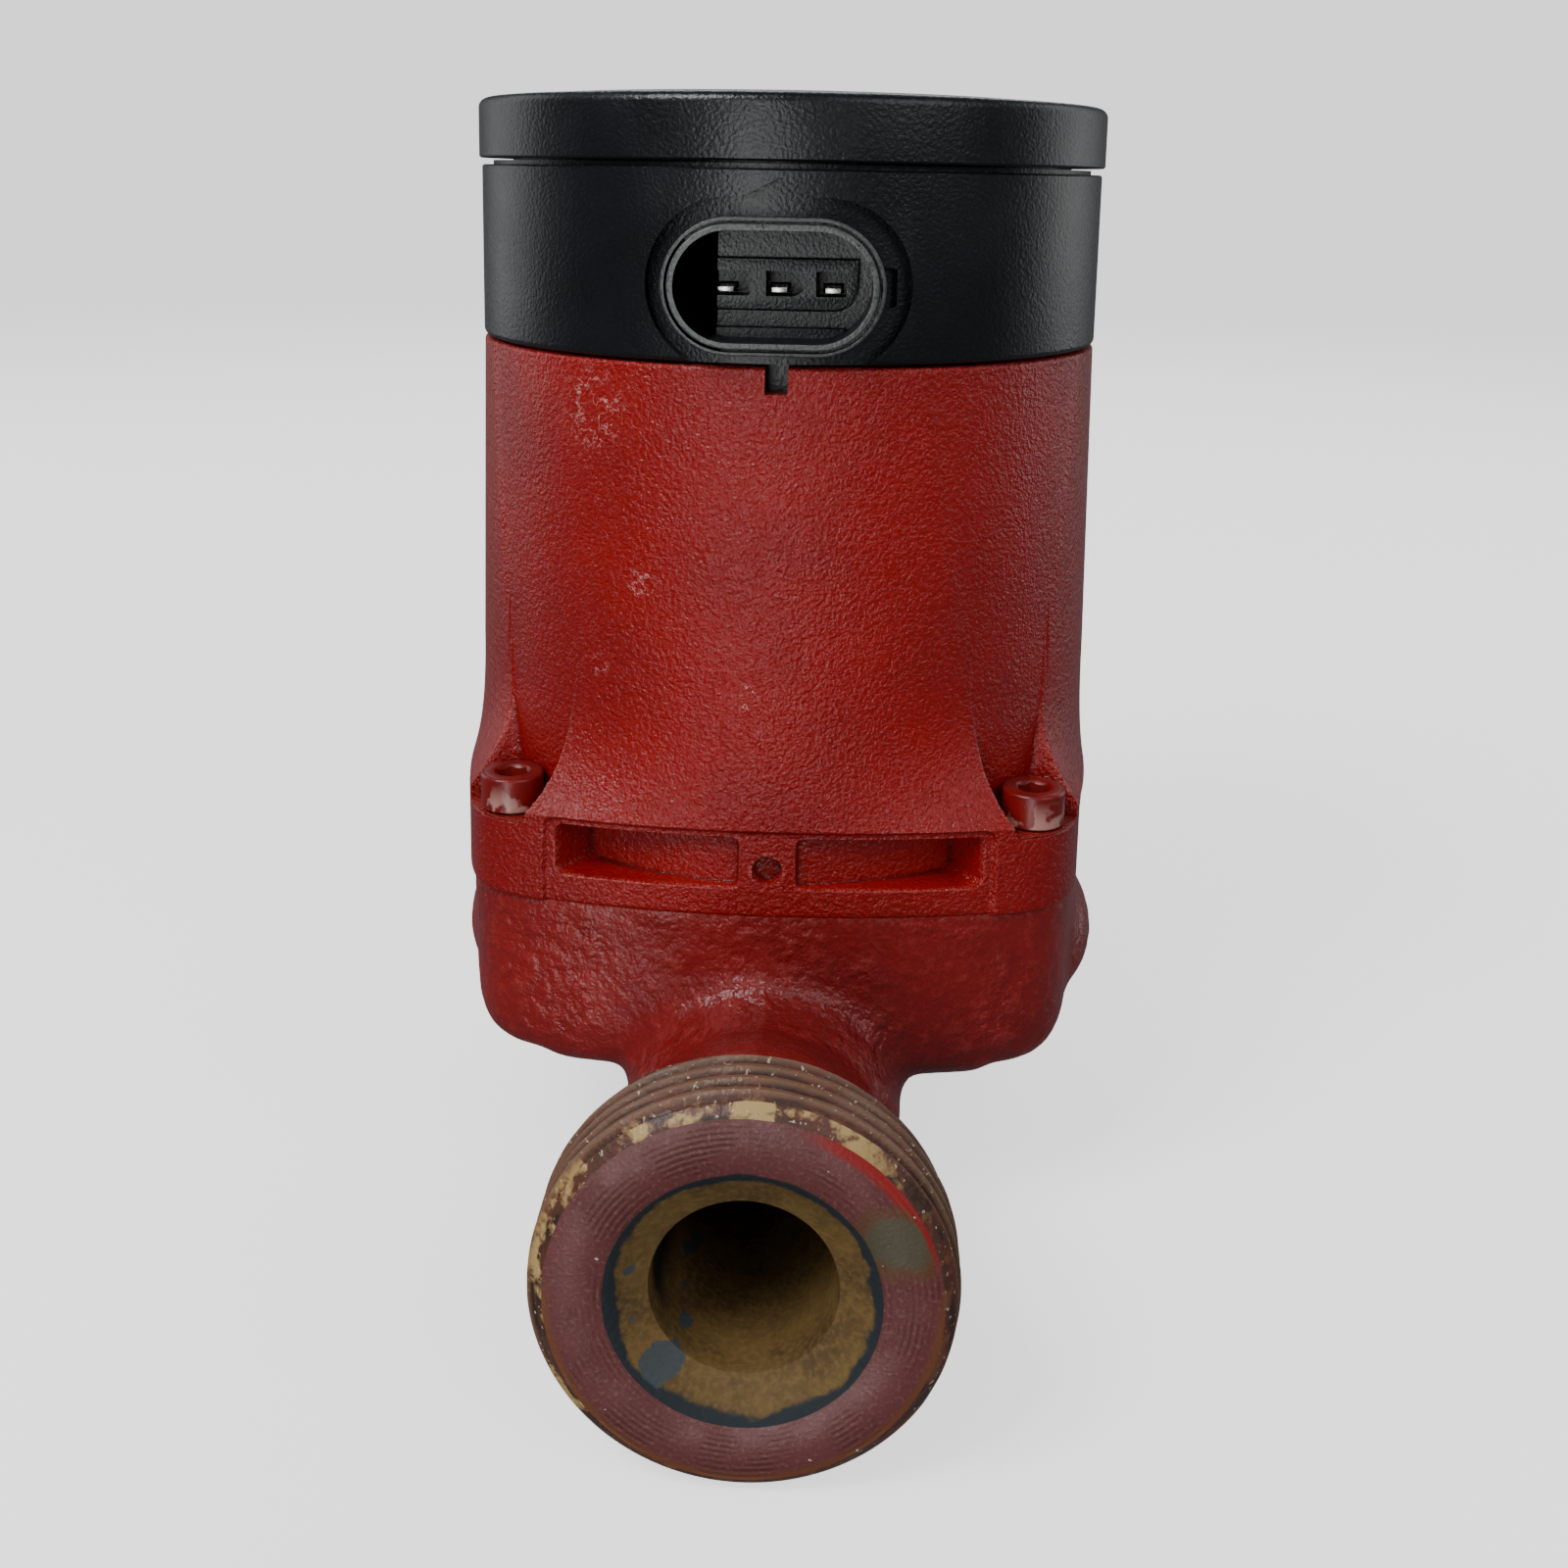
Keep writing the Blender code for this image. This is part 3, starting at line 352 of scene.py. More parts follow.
class Look:
    """A material being put together: its shader, its object coordinates and its relief."""

    def __init__(self, name, **shader_values):
        self.material = bpy.data.materials.new(name)
        self.material.use_nodes = True
        self.shader = self.material.node_tree.nodes["Principled BSDF"]
        for socket, value in shader_values.items():
            self.shader.inputs[socket.replace("_", " ")].default_value = value
        self.where = self.add("TexCoord").outputs["Object"]

    def add(self, kind, inputs=None, **settings):
        """Adds a node; each input is a value, a hex colour, another node or one of a node's outputs."""
        made = self.material.node_tree.nodes.new("ShaderNode" + kind)
        for name, value in settings.items():
            setattr(made, name, value)
        for socket, value in (inputs or {}).items():
            if isinstance(value, bpy.types.Node):
                value = next(output for output in value.outputs if output.enabled)
            if isinstance(value, bpy.types.NodeSocket):
                self.material.node_tree.links.new(value, made.inputs[socket])
            else:
                made.inputs[socket].default_value = colour(value) if isinstance(value, str) else value
        return made

    def done(self, **sources):
        """Links what was built into the shader's sockets."""
        for socket, source in sources.items():
            output = next(output for output in source.outputs if output.enabled)
            self.material.node_tree.links.new(output, self.shader.inputs[socket.replace("_", " ")])
        return self.material


def powder_coated_aluminium():
    """Textured red polyester powder on die-cast aluminium: a leathery skin that glitters in the light."""
    look = Look("red_powder_coated_aluminium", Specular_IOR_Level=0.42)
    where = look.where
    patches = look.add("TexNoise", {"Vector": where, "Scale": 1 / (22 * MM), "Detail": 3})
    peel = look.add("TexNoise", {"Vector": where, "Scale": 1 / (0.6 * MM), "Detail": 2, "Roughness": 0.5})
    fine = look.add("TexNoise", {"Vector": where, "Scale": 1 / (0.3 * MM), "Detail": 1})
    proud = look.add("Attribute", attribute_name="proud").outputs["Fac"]
    hollow = look.add("Attribute", attribute_name="hollow").outputs["Fac"]
    shade = look.add("MapRange", {0: patches, 1: 0.3, 2: 0.7}, **SOFT)
    base = look.add("Mix", {0: shade, 6: "#930F0E", 7: "#820D0D"}, **BLEND)
    crests = look.add("MapRange", {0: peel, 1: 0.45, 2: 0.65, 4: 0.3}, **SOFT)
    base = look.add("Mix", {0: crests, 6: base, 7: "#A22220"}, **BLEND)
    # coating rubbed thin along the proud edges, in dots where the grain stands highest; the pale dots are also a
    # painted highlight along those edges
    dots = look.add("MapRange", {0: fine, 1: 0.4, 2: 0.6}, **SOFT)
    rub = look.add("Math", {0: proud, 1: dots}, **TIMES)
    rub = look.add("MapRange", {0: rub, 1: 0.15, 2: 0.8, 4: 0.55}, **SOFT)
    base = look.add("Mix", {0: rub, 6: base, 7: "#B4524C"}, **BLEND)
    # painted shade: darker red in the hollows
    hollow_shade = look.add("MapRange", {0: hollow, 1: 0.2, 2: 1.0, 4: 0.6}, **SOFT)
    base = look.add("Mix", {0: hollow_shade, 6: base, 7: "#3C0C0C"}, **BLEND)
    # scratches and chips on the front of the case
    crease = look.add("TexNoise", {"Vector": where, "Scale": 1 / (2.6 * MM), "Detail": 4, "Roughness": 0.6})
    crease = look.add("Math", {0: crease, 1: 0.5}, operation="SUBTRACT")
    crease = look.add("Math", {0: crease}, operation="ABSOLUTE")
    crease = look.add("MapRange", {0: crease, 1: 0.0, 2: 0.014, 3: 1.0, 4: 0.0}, **SOFT)
    for point, size, strength in (
        ((-24, -38, 90), 6.5, 0.7),
        ((-17, -42, 68), 2.6, 0.6),
        ((-23, -39.5, 56), 2.0, 0.6),
        ((-3, -45.5, 54), 2.0, 0.9),
    ):
        point = [value * MM for value in point]
        far = look.add("VectorMath", {0: where, 1: point}, operation="DISTANCE").outputs["Value"]
        near = look.add("MapRange", {0: far, 1: size * 0.5 * MM, 2: size * MM, 3: strength, 4: 0.0}, **SOFT)
        near = look.add("Math", {0: near, 1: crease}, **TIMES)
        base = look.add("Mix", {0: near, 6: base, 7: "#E0A79E"}, **BLEND)
    relief = look.add("Bump", {"Height": peel, "Distance": 0.3 * MM})
    relief = look.add("Bump", {"Height": fine, "Distance": 0.05 * MM, "Normal": relief})
    gloss = look.add("MapRange", {0: patches, 1: 0.3, 2: 0.7, 3: 0.2, 4: 0.25}, **SOFT)
    return look.done(Base_Color=base, Roughness=gloss, Normal=relief)


def coated_cast_iron():
    """Dark red dip coating over sand-cast iron: lumpy, with a wet gloss on the lumps."""
    look = Look("red_coated_cast_iron", Specular_IOR_Level=0.5)
    where = look.where
    patches = look.add("TexNoise", {"Vector": where, "Scale": 1 / (16 * MM), "Detail": 3})
    lumps = look.add("TexNoise", {"Vector": where, "Scale": 1 / (1.9 * MM), "Detail": 3, "Roughness": 0.55})
    grit = look.add("TexNoise", {"Vector": where, "Scale": 1 / (0.7 * MM), "Detail": 2})
    proud = look.add("Attribute", attribute_name="proud").outputs["Fac"]
    hollow = look.add("Attribute", attribute_name="hollow").outputs["Fac"]
    shade = look.add("MapRange", {0: patches, 1: 0.3, 2: 0.7}, **SOFT)
    base = look.add("Mix", {0: shade, 6: "#8A1A19", 7: "#761615"}, **BLEND)
    tops = look.add("MapRange", {0: lumps, 1: 0.5, 2: 0.7, 4: 0.4}, **SOFT)
    base = look.add("Mix", {0: tops, 6: base, 7: "#A03430"}, **BLEND)
    dots = look.add("MapRange", {0: grit, 1: 0.4, 2: 0.65}, **SOFT)
    rub = look.add("Math", {0: proud, 1: dots}, **TIMES)
    rub = look.add("MapRange", {0: rub, 1: 0.2, 2: 0.8, 4: 0.4}, **SOFT)
    base = look.add("Mix", {0: rub, 6: base, 7: "#8E4842"}, **BLEND)
    # painted shade: darker red in the hollows
    hollow_shade = look.add("MapRange", {0: hollow, 1: 0.2, 2: 1.0, 4: 0.5}, **SOFT)
    base = look.add("Mix", {0: hollow_shade, 6: base, 7: "#3A0C0D"}, **BLEND)
    rough_places = look.add("TexNoise", {"Vector": where, "Scale": 1 / (13 * MM), "Detail": 1})
    rough_places = look.add("MapRange", {0: rough_places, 1: 0.38, 2: 0.6, 3: 0.45, 4: 1.0}, **SOFT)
    height = look.add("Math", {0: lumps, 1: rough_places}, **TIMES)
    relief = look.add("Bump", {"Height": height, "Distance": 0.7 * MM})
    relief = look.add("Bump", {"Height": grit, "Distance": 0.1 * MM, "Normal": relief})
    gloss = look.add("MapRange", {0: grit, 1: 0.3, 2: 0.7, 3: 0.26, 4: 0.36}, **SOFT)
    return look.done(Base_Color=base, Roughness=gloss, Normal=relief)


def from_pipe_axis(look):
    """Distance from the pipe's axis."""
    flat = look.add("VectorMath", {0: look.where, 1: (1, 0, 1)}, operation="MULTIPLY")
    return look.add("VectorMath", {0: flat}, operation="LENGTH").outputs["Value"]


def machined_port_face():
    """Lathe-turned iron face with thin old paint: faint rings, worn to grey and brown in places."""
    look = Look("turned_port_face", Specular_IOR_Level=0.45)
    where = look.where
    radius = from_pipe_axis(look)
    patches = look.add("TexNoise", {"Vector": where, "Scale": 1 / (7 * MM), "Detail": 4, "Roughness": 0.6})
    grit = look.add("TexNoise", {"Vector": where, "Scale": 1 / (0.5 * MM), "Detail": 2})
    shade = look.add("MapRange", {0: patches, 1: 0.35, 2: 0.65}, **SOFT)
    base = look.add("Mix", {0: shade, 6: "#663636", 7: "#5A2A28"}, **BLEND)
    dots = look.add("MapRange", {0: grit, 1: 0.5, 2: 0.75, 4: 0.45}, **SOFT)
    base = look.add("Mix", {0: dots, 6: base, 7: "#85605A"}, **BLEND)
    # paint left along the upper right of the rim, and round the outer edge where it isn't rubbed to brown
    split = look.add("SeparateXYZ", {"Vector": where})
    bright = look.add("MapRange", {0: radius, 1: 20.2 * MM, 2: 20.9 * MM}, **SOFT)
    upper = look.add("MapRange", {0: split.outputs["Z"], 1: 4 * MM, 2: 9 * MM}, **SOFT)
    right = look.add("MapRange", {0: split.outputs["X"], 1: 5 * MM, 2: 11 * MM}, **SOFT)
    bright = look.add("Math", {0: bright, 1: upper}, **TIMES)
    bright = look.add("Math", {0: bright, 1: right}, **TIMES)
    base = look.add("Mix", {0: bright, 6: base, 7: "#8A1716"}, **BLEND)
    # worn crescent at the right: grey-green iron with a brown border
    spot = look.add("VectorMath", {0: where, 1: (17 * MM, -PORT_FACE, 8 * MM)}, operation="DISTANCE")
    ragged = look.add("Math", {0: patches, 1: 9 * MM, 2: spot.outputs["Value"]}, operation="MULTIPLY_ADD")
    border = look.add("MapRange", {0: ragged, 1: 8.5 * MM, 2: 11 * MM, 3: 0.85, 4: 0.0}, **SOFT)
    inside = look.add("MapRange", {0: radius, 1: 21 * MM, 2: 21.6 * MM, 3: 1.0, 4: 0.0}, **SOFT)
    border = look.add("Math", {0: border, 1: inside}, **TIMES)
    base = look.add("Mix", {0: border, 6: base, 7: "#5A3A22"}, **BLEND)
    bare = look.add("MapRange", {0: ragged, 1: 6.5 * MM, 2: 8.5 * MM, 3: 0.9, 4: 0.0}, **SOFT)
    bare = look.add("Math", {0: bare, 1: inside}, **TIMES)
    base = look.add("Mix", {0: bare, 6: base, 7: "#4C4A38"}, **BLEND)
    lower = look.add("MapRange", {0: split.outputs["Z"], 1: -2 * MM, 2: 3 * MM, 3: 1.0, 4: 0.0}, **SOFT)
    rim = look.add("MapRange", {0: radius, 1: 20.8 * MM, 2: 21.6 * MM}, **SOFT)
    rim = look.add("Math", {0: rim, 1: lower}, **TIMES)
    base = look.add("Mix", {0: rim, 6: base, 7: "#6E4129"}, **BLEND)
    # soot-dark ring that the gasket left round the countersink
    inner = look.add("Math", {0: patches, 1: 1.4 * MM, 2: radius}, operation="MULTIPLY_ADD")
    inner = look.add("MapRange", {0: inner, 1: 15.75 * MM, 2: 16.1 * MM, 3: 0.95, 4: 0.0}, **SOFT)
    base = look.add("Mix", {0: inner, 6: base, 7: "#1B2226"}, **BLEND)
    specks = look.add("TexNoise", {"Vector": where, "Scale": 1 / (1.3 * MM), "Detail": 2})
    specks = look.add("MapRange", {0: specks, 1: 0.75, 2: 0.78}, **SOFT)
    base = look.add("Mix", {0: specks, 6: base, 7: "#C9BBB2"}, **BLEND)
    # lathe rings 0.7 mm apart, felt only in some patches
    rings = look.add("Math", {0: radius, 1: TAU / (0.7 * MM)}, **TIMES)
    rings = look.add("Math", {0: rings}, operation="SINE")
    felt = look.add("MapRange", {0: patches, 1: 0.45, 2: 0.6}, **SOFT)
    rings = look.add("Math", {0: rings, 1: felt}, **TIMES)
    relief = look.add("Bump", {"Height": rings, "Distance": 0.02 * MM})
    relief = look.add("Bump", {"Height": grit, "Distance": 0.05 * MM, "Normal": relief})
    gloss = look.add("MapRange", {0: patches, 1: 0.3, 2: 0.7, 3: 0.36, 4: 0.5}, **SOFT)
    return look.done(Base_Color=base, Roughness=gloss, Normal=relief)


def worn_thread():
    """Pipe thread with old jointing paste: dark brown iron with red paint and brass-gold crumbs."""
    look = Look("worn_pipe_thread", Specular_IOR_Level=0.45)
    where = look.where
    radius = from_pipe_axis(look)
    patches = look.add("TexNoise", {"Vector": where, "Scale": 1 / (5 * MM), "Detail": 4, "Roughness": 0.65})
    grit = look.add("TexNoise", {"Vector": where, "Scale": 1 / (0.6 * MM), "Detail": 3})
    along = look.add("Mapping", {"Vector": where, "Scale": (1, 5, 1)})
    bands = look.add("TexNoise", {"Vector": along, "Scale": 1 / (6 * MM), "Detail": 3, "Roughness": 0.6})
    shade = look.add("MapRange", {0: patches, 1: 0.38, 2: 0.62}, **SOFT)
    base = look.add("Mix", {0: shade, 6: "#52382C", 7: "#5E261F"}, **BLEND)
    dark = look.add("MapRange", {0: bands, 1: 0.45, 2: 0.65, 4: 0.8}, **SOFT)
    base = look.add("Mix", {0: dark, 6: base, 7: "#261D17"}, **BLEND)
    rubbed = look.add("MapRange", {0: radius, 1: 23.1 * MM, 2: 23.8 * MM, 4: 0.7}, **SOFT)
    base = look.add("Mix", {0: rubbed, 6: base, 7: "#80604A"}, **BLEND)
    # paste left on the chamfer behind the face
    split = look.add("SeparateXYZ", {"Vector": where})
    depth = look.add("Math", {0: split.outputs["Y"]}, operation="ABSOLUTE")
    mouth = look.add("MapRange", {0: depth, 1: PORT_FACE - 2.4 * MM, 2: PORT_FACE - 1.6 * MM}, **SOFT)
    crumbs = look.add("MapRange", {0: patches, 1: 0.5, 2: 0.6}, **SOFT)
    crumbs = look.add("Math", {0: crumbs, 1: mouth}, **TIMES)
    side = look.add("VectorMath", {0: where, 1: (-0.8, 0, 0.6)}, operation="DOT_PRODUCT").outputs["Value"]
    side = look.add("MapRange", {0: side, 1: -12 * MM, 2: 6 * MM, 3: 0.15, 4: 1.0}, **SOFT)
    crumbs = look.add("Math", {0: crumbs, 1: side}, **TIMES)
    base = look.add("Mix", {0: crumbs, 6: base, 7: "#B29660"}, **BLEND)
    specks = look.add("MapRange", {0: grit, 1: 0.64, 2: 0.72, 4: 0.85}, **SOFT)
    base = look.add("Mix", {0: specks, 6: base, 7: "#CFC0A6"}, **BLEND)
    relief = look.add("Bump", {"Height": patches, "Distance": 0.25 * MM})
    relief = look.add("Bump", {"Height": grit, "Distance": 0.12 * MM, "Normal": relief})
    gloss = look.add("MapRange", {0: patches, 1: 0.3, 2: 0.7, 3: 0.35, 4: 0.55}, **SOFT)
    return look.done(Base_Color=base, Roughness=gloss, Normal=relief)


def rusty_bore():
    """Iron wetted by heating water: an ochre film of rust with blue-grey scale."""
    look = Look("rusty_water_way", Roughness=0.65, Specular_IOR_Level=0.3)
    where = look.where
    radius = from_pipe_axis(look)
    patches = look.add("TexNoise", {"Vector": where, "Scale": 1 / (6 * MM), "Detail": 4, "Roughness": 0.65})
    grit = look.add("TexNoise", {"Vector": where, "Scale": 1 / (0.7 * MM), "Detail": 3})
    shade = look.add("MapRange", {0: patches, 1: 0.35, 2: 0.65}, **SOFT)
    base = look.add("Mix", {0: shade, 6: "#66502A", 7: "#4E3B22"}, **BLEND)
    rust = look.add("MapRange", {0: grit, 1: 0.4, 2: 0.7, 4: 0.5}, **SOFT)
    base = look.add("Mix", {0: rust, 6: base, 7: "#7A6038"}, **BLEND)
    edge = look.add("Math", {0: patches, 1: 3.2 * MM, 2: radius}, operation="MULTIPLY_ADD")
    ring = look.add("MapRange", {0: edge, 1: 15.5 * MM, 2: 16.1 * MM}, **SOFT)
    base = look.add("Mix", {0: ring, 6: base, 7: "#20272C"}, **BLEND)
    # flakes of blue-grey scale at the lower left of the mouth; further in, a painted shadow, near black, at the upper
    # left
    flat = look.add("VectorMath", {0: where, 1: (1, 0, 1)}, operation="MULTIPLY")
    for point, size in (((-8.6, 0, -9), 4.6), ((-12.2, 0, -3.5), 3.2), ((-12.6, 0, 2.5), 2.8)):
        point = [value * MM for value in point]
        far = look.add("VectorMath", {0: flat, 1: point}, operation="DISTANCE").outputs["Value"]
        far = look.add("Math", {0: patches, 1: 5 * MM, 2: far}, operation="MULTIPLY_ADD")
        flake = look.add("MapRange", {0: far, 1: (size - 0.3) * MM, 2: size * MM, 3: 0.9, 4: 0.0}, **SOFT)
        base = look.add("Mix", {0: flake, 6: base, 7: "#39444A"}, **BLEND)
    # painted shadow: near-black colour on the upper left of the bore, deeper in
    side = look.add("VectorMath", {0: where, 1: (-0.55, 0, 0.83)}, operation="DOT_PRODUCT").outputs["Value"]
    bore_shadow = look.add("MapRange", {0: side, 1: -1 * MM, 2: 3.5 * MM, 4: 0.93}, **SOFT)
    split = look.add("SeparateXYZ", {"Vector": where})
    depth = look.add("Math", {0: split.outputs["Y"]}, operation="ABSOLUTE")
    deep = look.add("MapRange", {0: depth, 1: PORT_FACE - 4 * MM, 2: PORT_FACE - 7 * MM}, **SOFT)
    bore_shadow = look.add("Math", {0: bore_shadow, 1: deep}, **TIMES)
    base = look.add("Mix", {0: bore_shadow, 6: base, 7: "#070A12"}, **BLEND)
    relief = look.add("Bump", {"Height": patches, "Distance": 0.25 * MM})
    relief = look.add("Bump", {"Height": grit, "Distance": 0.1 * MM, "Normal": relief})
    return look.done(Base_Color=base, Normal=relief)


def moulded_black_plastic(name, grain, wear):
    """Glass-filled black nylon: spark-eroded grain, blue-black, greyer where it is scuffed."""
    look = Look(name, Specular_IOR_Level=0.5)
    where = look.where
    sand = look.add("TexNoise", {"Vector": where, "Scale": 1 / grain, "Detail": 2})
    patches = look.add("TexNoise", {"Vector": where, "Scale": 1 / (12 * MM), "Detail": 3})
    split = look.add("SeparateXYZ", {"Vector": where})
    shade = look.add("MapRange", {0: patches, 1: 0.35, 2: 0.65}, **SOFT)
    base = look.add("Mix", {0: shade, 6: "#05080B", 7: "#080C10"}, **BLEND)
    dust = look.add("MapRange", {0: sand, 1: 0.5, 2: 0.75, 4: 0.4}, **SOFT)
    base = look.add("Mix", {0: dust, 6: base, 7: "#13191E"}, **BLEND)
    # the socket's lip stands out furthest and is scuffed grey
    out = look.add("MapRange", {0: split.outputs["Y"], 1: -46.0 * MM, 2: -46.6 * MM, 3: 0.0, 4: wear}, **SOFT)
    dots = look.add("MapRange", {0: sand, 1: 0.3, 2: 0.6, 3: 0.5, 4: 1.0}, **SOFT)
    scuff = look.add("Math", {0: out, 1: dots}, **TIMES)
    base = look.add("Mix", {0: scuff, 6: base, 7: "#5C625F"}, **BLEND)
    relief = look.add("Bump", {"Height": sand, "Distance": 0.09 * MM})
    gloss = look.add("MapRange", {0: patches, 1: 0.3, 2: 0.7, 3: 0.3, 4: 0.36}, **SOFT)
    return look.done(Base_Color=base, Roughness=gloss, Normal=relief)


def shaded_black_plastic():
    """The same nylon deep in the socket, painted near black and dull as a painted shadow, where next to no light comes
    back.
    """
    look = Look("painted_shadow_black_nylon", Roughness=0.9, Specular_IOR_Level=0.05)
    sand = look.add("TexNoise", {"Vector": look.where, "Scale": 1 / (0.5 * MM), "Detail": 2})
    shade = look.add("MapRange", {0: sand, 1: 0.4, 2: 0.7}, **SOFT)
    return look.done(Base_Color=look.add("Mix", {0: shade, 6: "#010202", 7: "#030404"}, **BLEND))


def painted_screw():
    """Socket screw painted over with the pump: smooth red, rubbed bare at the rim by the key."""
    look = Look("painted_steel_screw", Roughness=0.32, Specular_IOR_Level=0.45)
    where = look.where
    patches = look.add("TexNoise", {"Vector": where, "Scale": 1 / (3 * MM), "Detail": 3})
    grit = look.add("TexNoise", {"Vector": where, "Scale": 1 / (0.5 * MM), "Detail": 3})
    proud = look.add("Attribute", attribute_name="proud").outputs["Fac"]
    hollow = look.add("Attribute", attribute_name="hollow").outputs["Fac"]
    shade = look.add("MapRange", {0: patches, 1: 0.35, 2: 0.65}, **SOFT)
    base = look.add("Mix", {0: shade, 6: "#7A1110", 7: "#640E0D"}, **BLEND)
    dots = look.add("MapRange", {0: patches, 1: 0.45, 2: 0.6}, **SOFT)
    rub = look.add("Math", {0: proud, 1: dots}, **TIMES)
    rub = look.add("MapRange", {0: rub, 1: 0.2, 2: 0.8, 4: 0.8}, **SOFT)
    base = look.add("Mix", {0: rub, 6: base, 7: "#B98A80"}, **BLEND)
    # painted shade: darker red in the hollows
    hollow_shade = look.add("MapRange", {0: hollow, 1: 0.3, 2: 1.0, 4: 0.6}, **SOFT)
    base = look.add("Mix", {0: hollow_shade, 6: base, 7: "#2A0A0A"}, **BLEND)
    relief = look.add("Bump", {"Height": grit, "Distance": 0.04 * MM})
    return look.done(Base_Color=base, Normal=relief)


# Finishes of the pieces inside: slot, name, two colours, roughness, metallic, grain in mm, depth in mm
INNER_FINISHES = {
    "stainless": ("drawn_stainless_steel", "#B9B7B2", "#A5A39E", 0.28, 1.0, 0.6, 0.008),  # soft mirror
    "ceramic": ("ground_alumina", "#D9D2C4", "#CBC3B4", 0.3, 0.0, 0.4, 0.004),  # ivory, silky
    "carbon": ("bearing_carbon", "#26272A", "#1C1D1F", 0.4, 0.0, 0.5, 0.01),  # graphite sheen
    "rubber": ("moulded_epdm", "#17181A", "#101112", 0.75, 0.0, 0.8, 0.02),  # matt black
    "magnet": ("sintered_ferrite", "#4A4B4E", "#3A3B3E", 0.5, 0.0, 0.7, 0.02),  # dark stone grey
    "composite": ("glass_filled_composite", "#4B4A45", "#3F3E3A", 0.5, 0.0, 0.6, 0.02),  # grey-brown
    "copper_wire": ("enamelled_copper", "#B4632C", "#8E4A20", 0.3, 1.0, 0.9, 0.05),  # amber gloss
    "white_plastic": ("natural_nylon", "#D8D3C6", "#C9C3B4", 0.45, 0.0, 0.9, 0.01),  # milky
    "tinned_brass": ("tinned_brass", "#F2F1EC", "#E4E2DC", 0.3, 1.0, 0.5, 0.004),  # bright tin
    "board_laminate": ("solder_masked_laminate", "#1C5B33", "#174C2B", 0.35, 0.0, 1.2, 0.01),  # green
    "capacitor_sleeve": ("shrink_sleeve", "#15171B", "#101216", 0.3, 0.0, 2.0, 0.01),  # glossy black
    "module_resin": ("moulding_resin", "#202123", "#17181A", 0.55, 0.0, 0.4, 0.01),  # matt charcoal
    "thermal_silicone": ("thermal_silicone", "#8C939B", "#7C838B", 0.65, 0.0, 1.5, 0.03),  # chalky grey
    "zinc_steel": ("zinc_plated_steel", "#C2C3BE", "#A9ABA3", 0.35, 1.0, 0.6, 0.006),  # pale, bluish
}


def inner_finish(name, light, dark, roughness, metallic, grain, depth):
    """A plain finish with its own mottle and grain, for pieces inside the pump."""
    look = Look(name, Metallic=metallic)
    fine = look.add("TexNoise", {"Vector": look.where, "Scale": 1 / (grain * MM), "Detail": 2})
    mottle = look.add("TexNoise", {"Vector": look.where, "Scale": 1 / (grain * 6 * MM), "Detail": 3})
    shade = look.add("MapRange", {0: mottle, 1: 0.3, 2: 0.7}, **SOFT)
    base = look.add("Mix", {0: shade, 6: light, 7: dark}, **BLEND)
    gloss = {0: fine, 1: 0.3, 2: 0.7, 3: roughness - 0.06, 4: roughness + 0.06}
    relief = look.add("Bump", {"Height": fine, "Distance": depth * MM})
    return look.done(Base_Color=base, Roughness=look.add("MapRange", gloss, **SOFT), Normal=relief)


def stacked_laminations():
    """Punched electrical steel, 0.5 mm sheets: a fine grey stripe round the stack."""
    look = Look("stacked_laminations", Metallic=1.0, Roughness=0.45)
    stripes = {"Vector": look.where, "Scale": TAU / 20 / (0.5 * MM), "Distortion": 0.3}
    sheets = look.add("TexWave", stripes, wave_type="BANDS", bands_direction="Z").outputs["Fac"]
    base = look.add("Mix", {0: sheets, 6: "#8B8C90", 7: "#6A6B70"}, **BLEND)
    return look.done(Base_Color=base, Normal=look.add("Bump", {"Height": sheets, "Distance": 0.05 * MM}))


# ------------------------------------------------------------- stator housing


def bowed_side(cosine, sine, half):
    """How far out a bowed side lies in a direction, from the motor axis."""
    offset = SIDE_BOW - half
    return np.sqrt(SIDE_BOW**2 - (offset * sine) ** 2) - offset * np.abs(cosine)


def bowed_square(angle, half):
    """Radius of the flange outline: four bowed sides with rounded corners."""
    cosine, sine = np.cos(angle), np.sin(angle)
    power = CORNER_SHARPNESS
    total = bowed_side(cosine, sine, half) ** -power + bowed_side(sine, cosine, half) ** -power
    return total ** (-1 / power)


def smooth(value, low, high):
    share = np.clip((value - low) / (high - low), 0, 1)
    return share * share * (3 - 2 * share)


def soft_min(a, b, blend):
    share = np.maximum(blend - np.abs(a - b), 0) / blend
    return np.minimum(a, b) - share * share * blend / 4


def rounding(distance, radius):
    """How far a surface draws in within a radius of its edge."""
    left = np.clip(1 - distance / radius, 0, 1)
    return radius * (1 - np.sqrt(1 - left * left))


def inside_rounded(x, z, middle, half, corner):
    """Distance inside a rounded rectangle's edge, negative outside it."""
    dx = np.abs(x - middle[0]) - half[0] + corner
    dz = np.abs(z - middle[1]) - half[1] + corner
    outer = np.hypot(np.maximum(dx, 0), np.maximum(dz, 0))
    return corner - outer - np.minimum(np.maximum(dx, dz), 0)


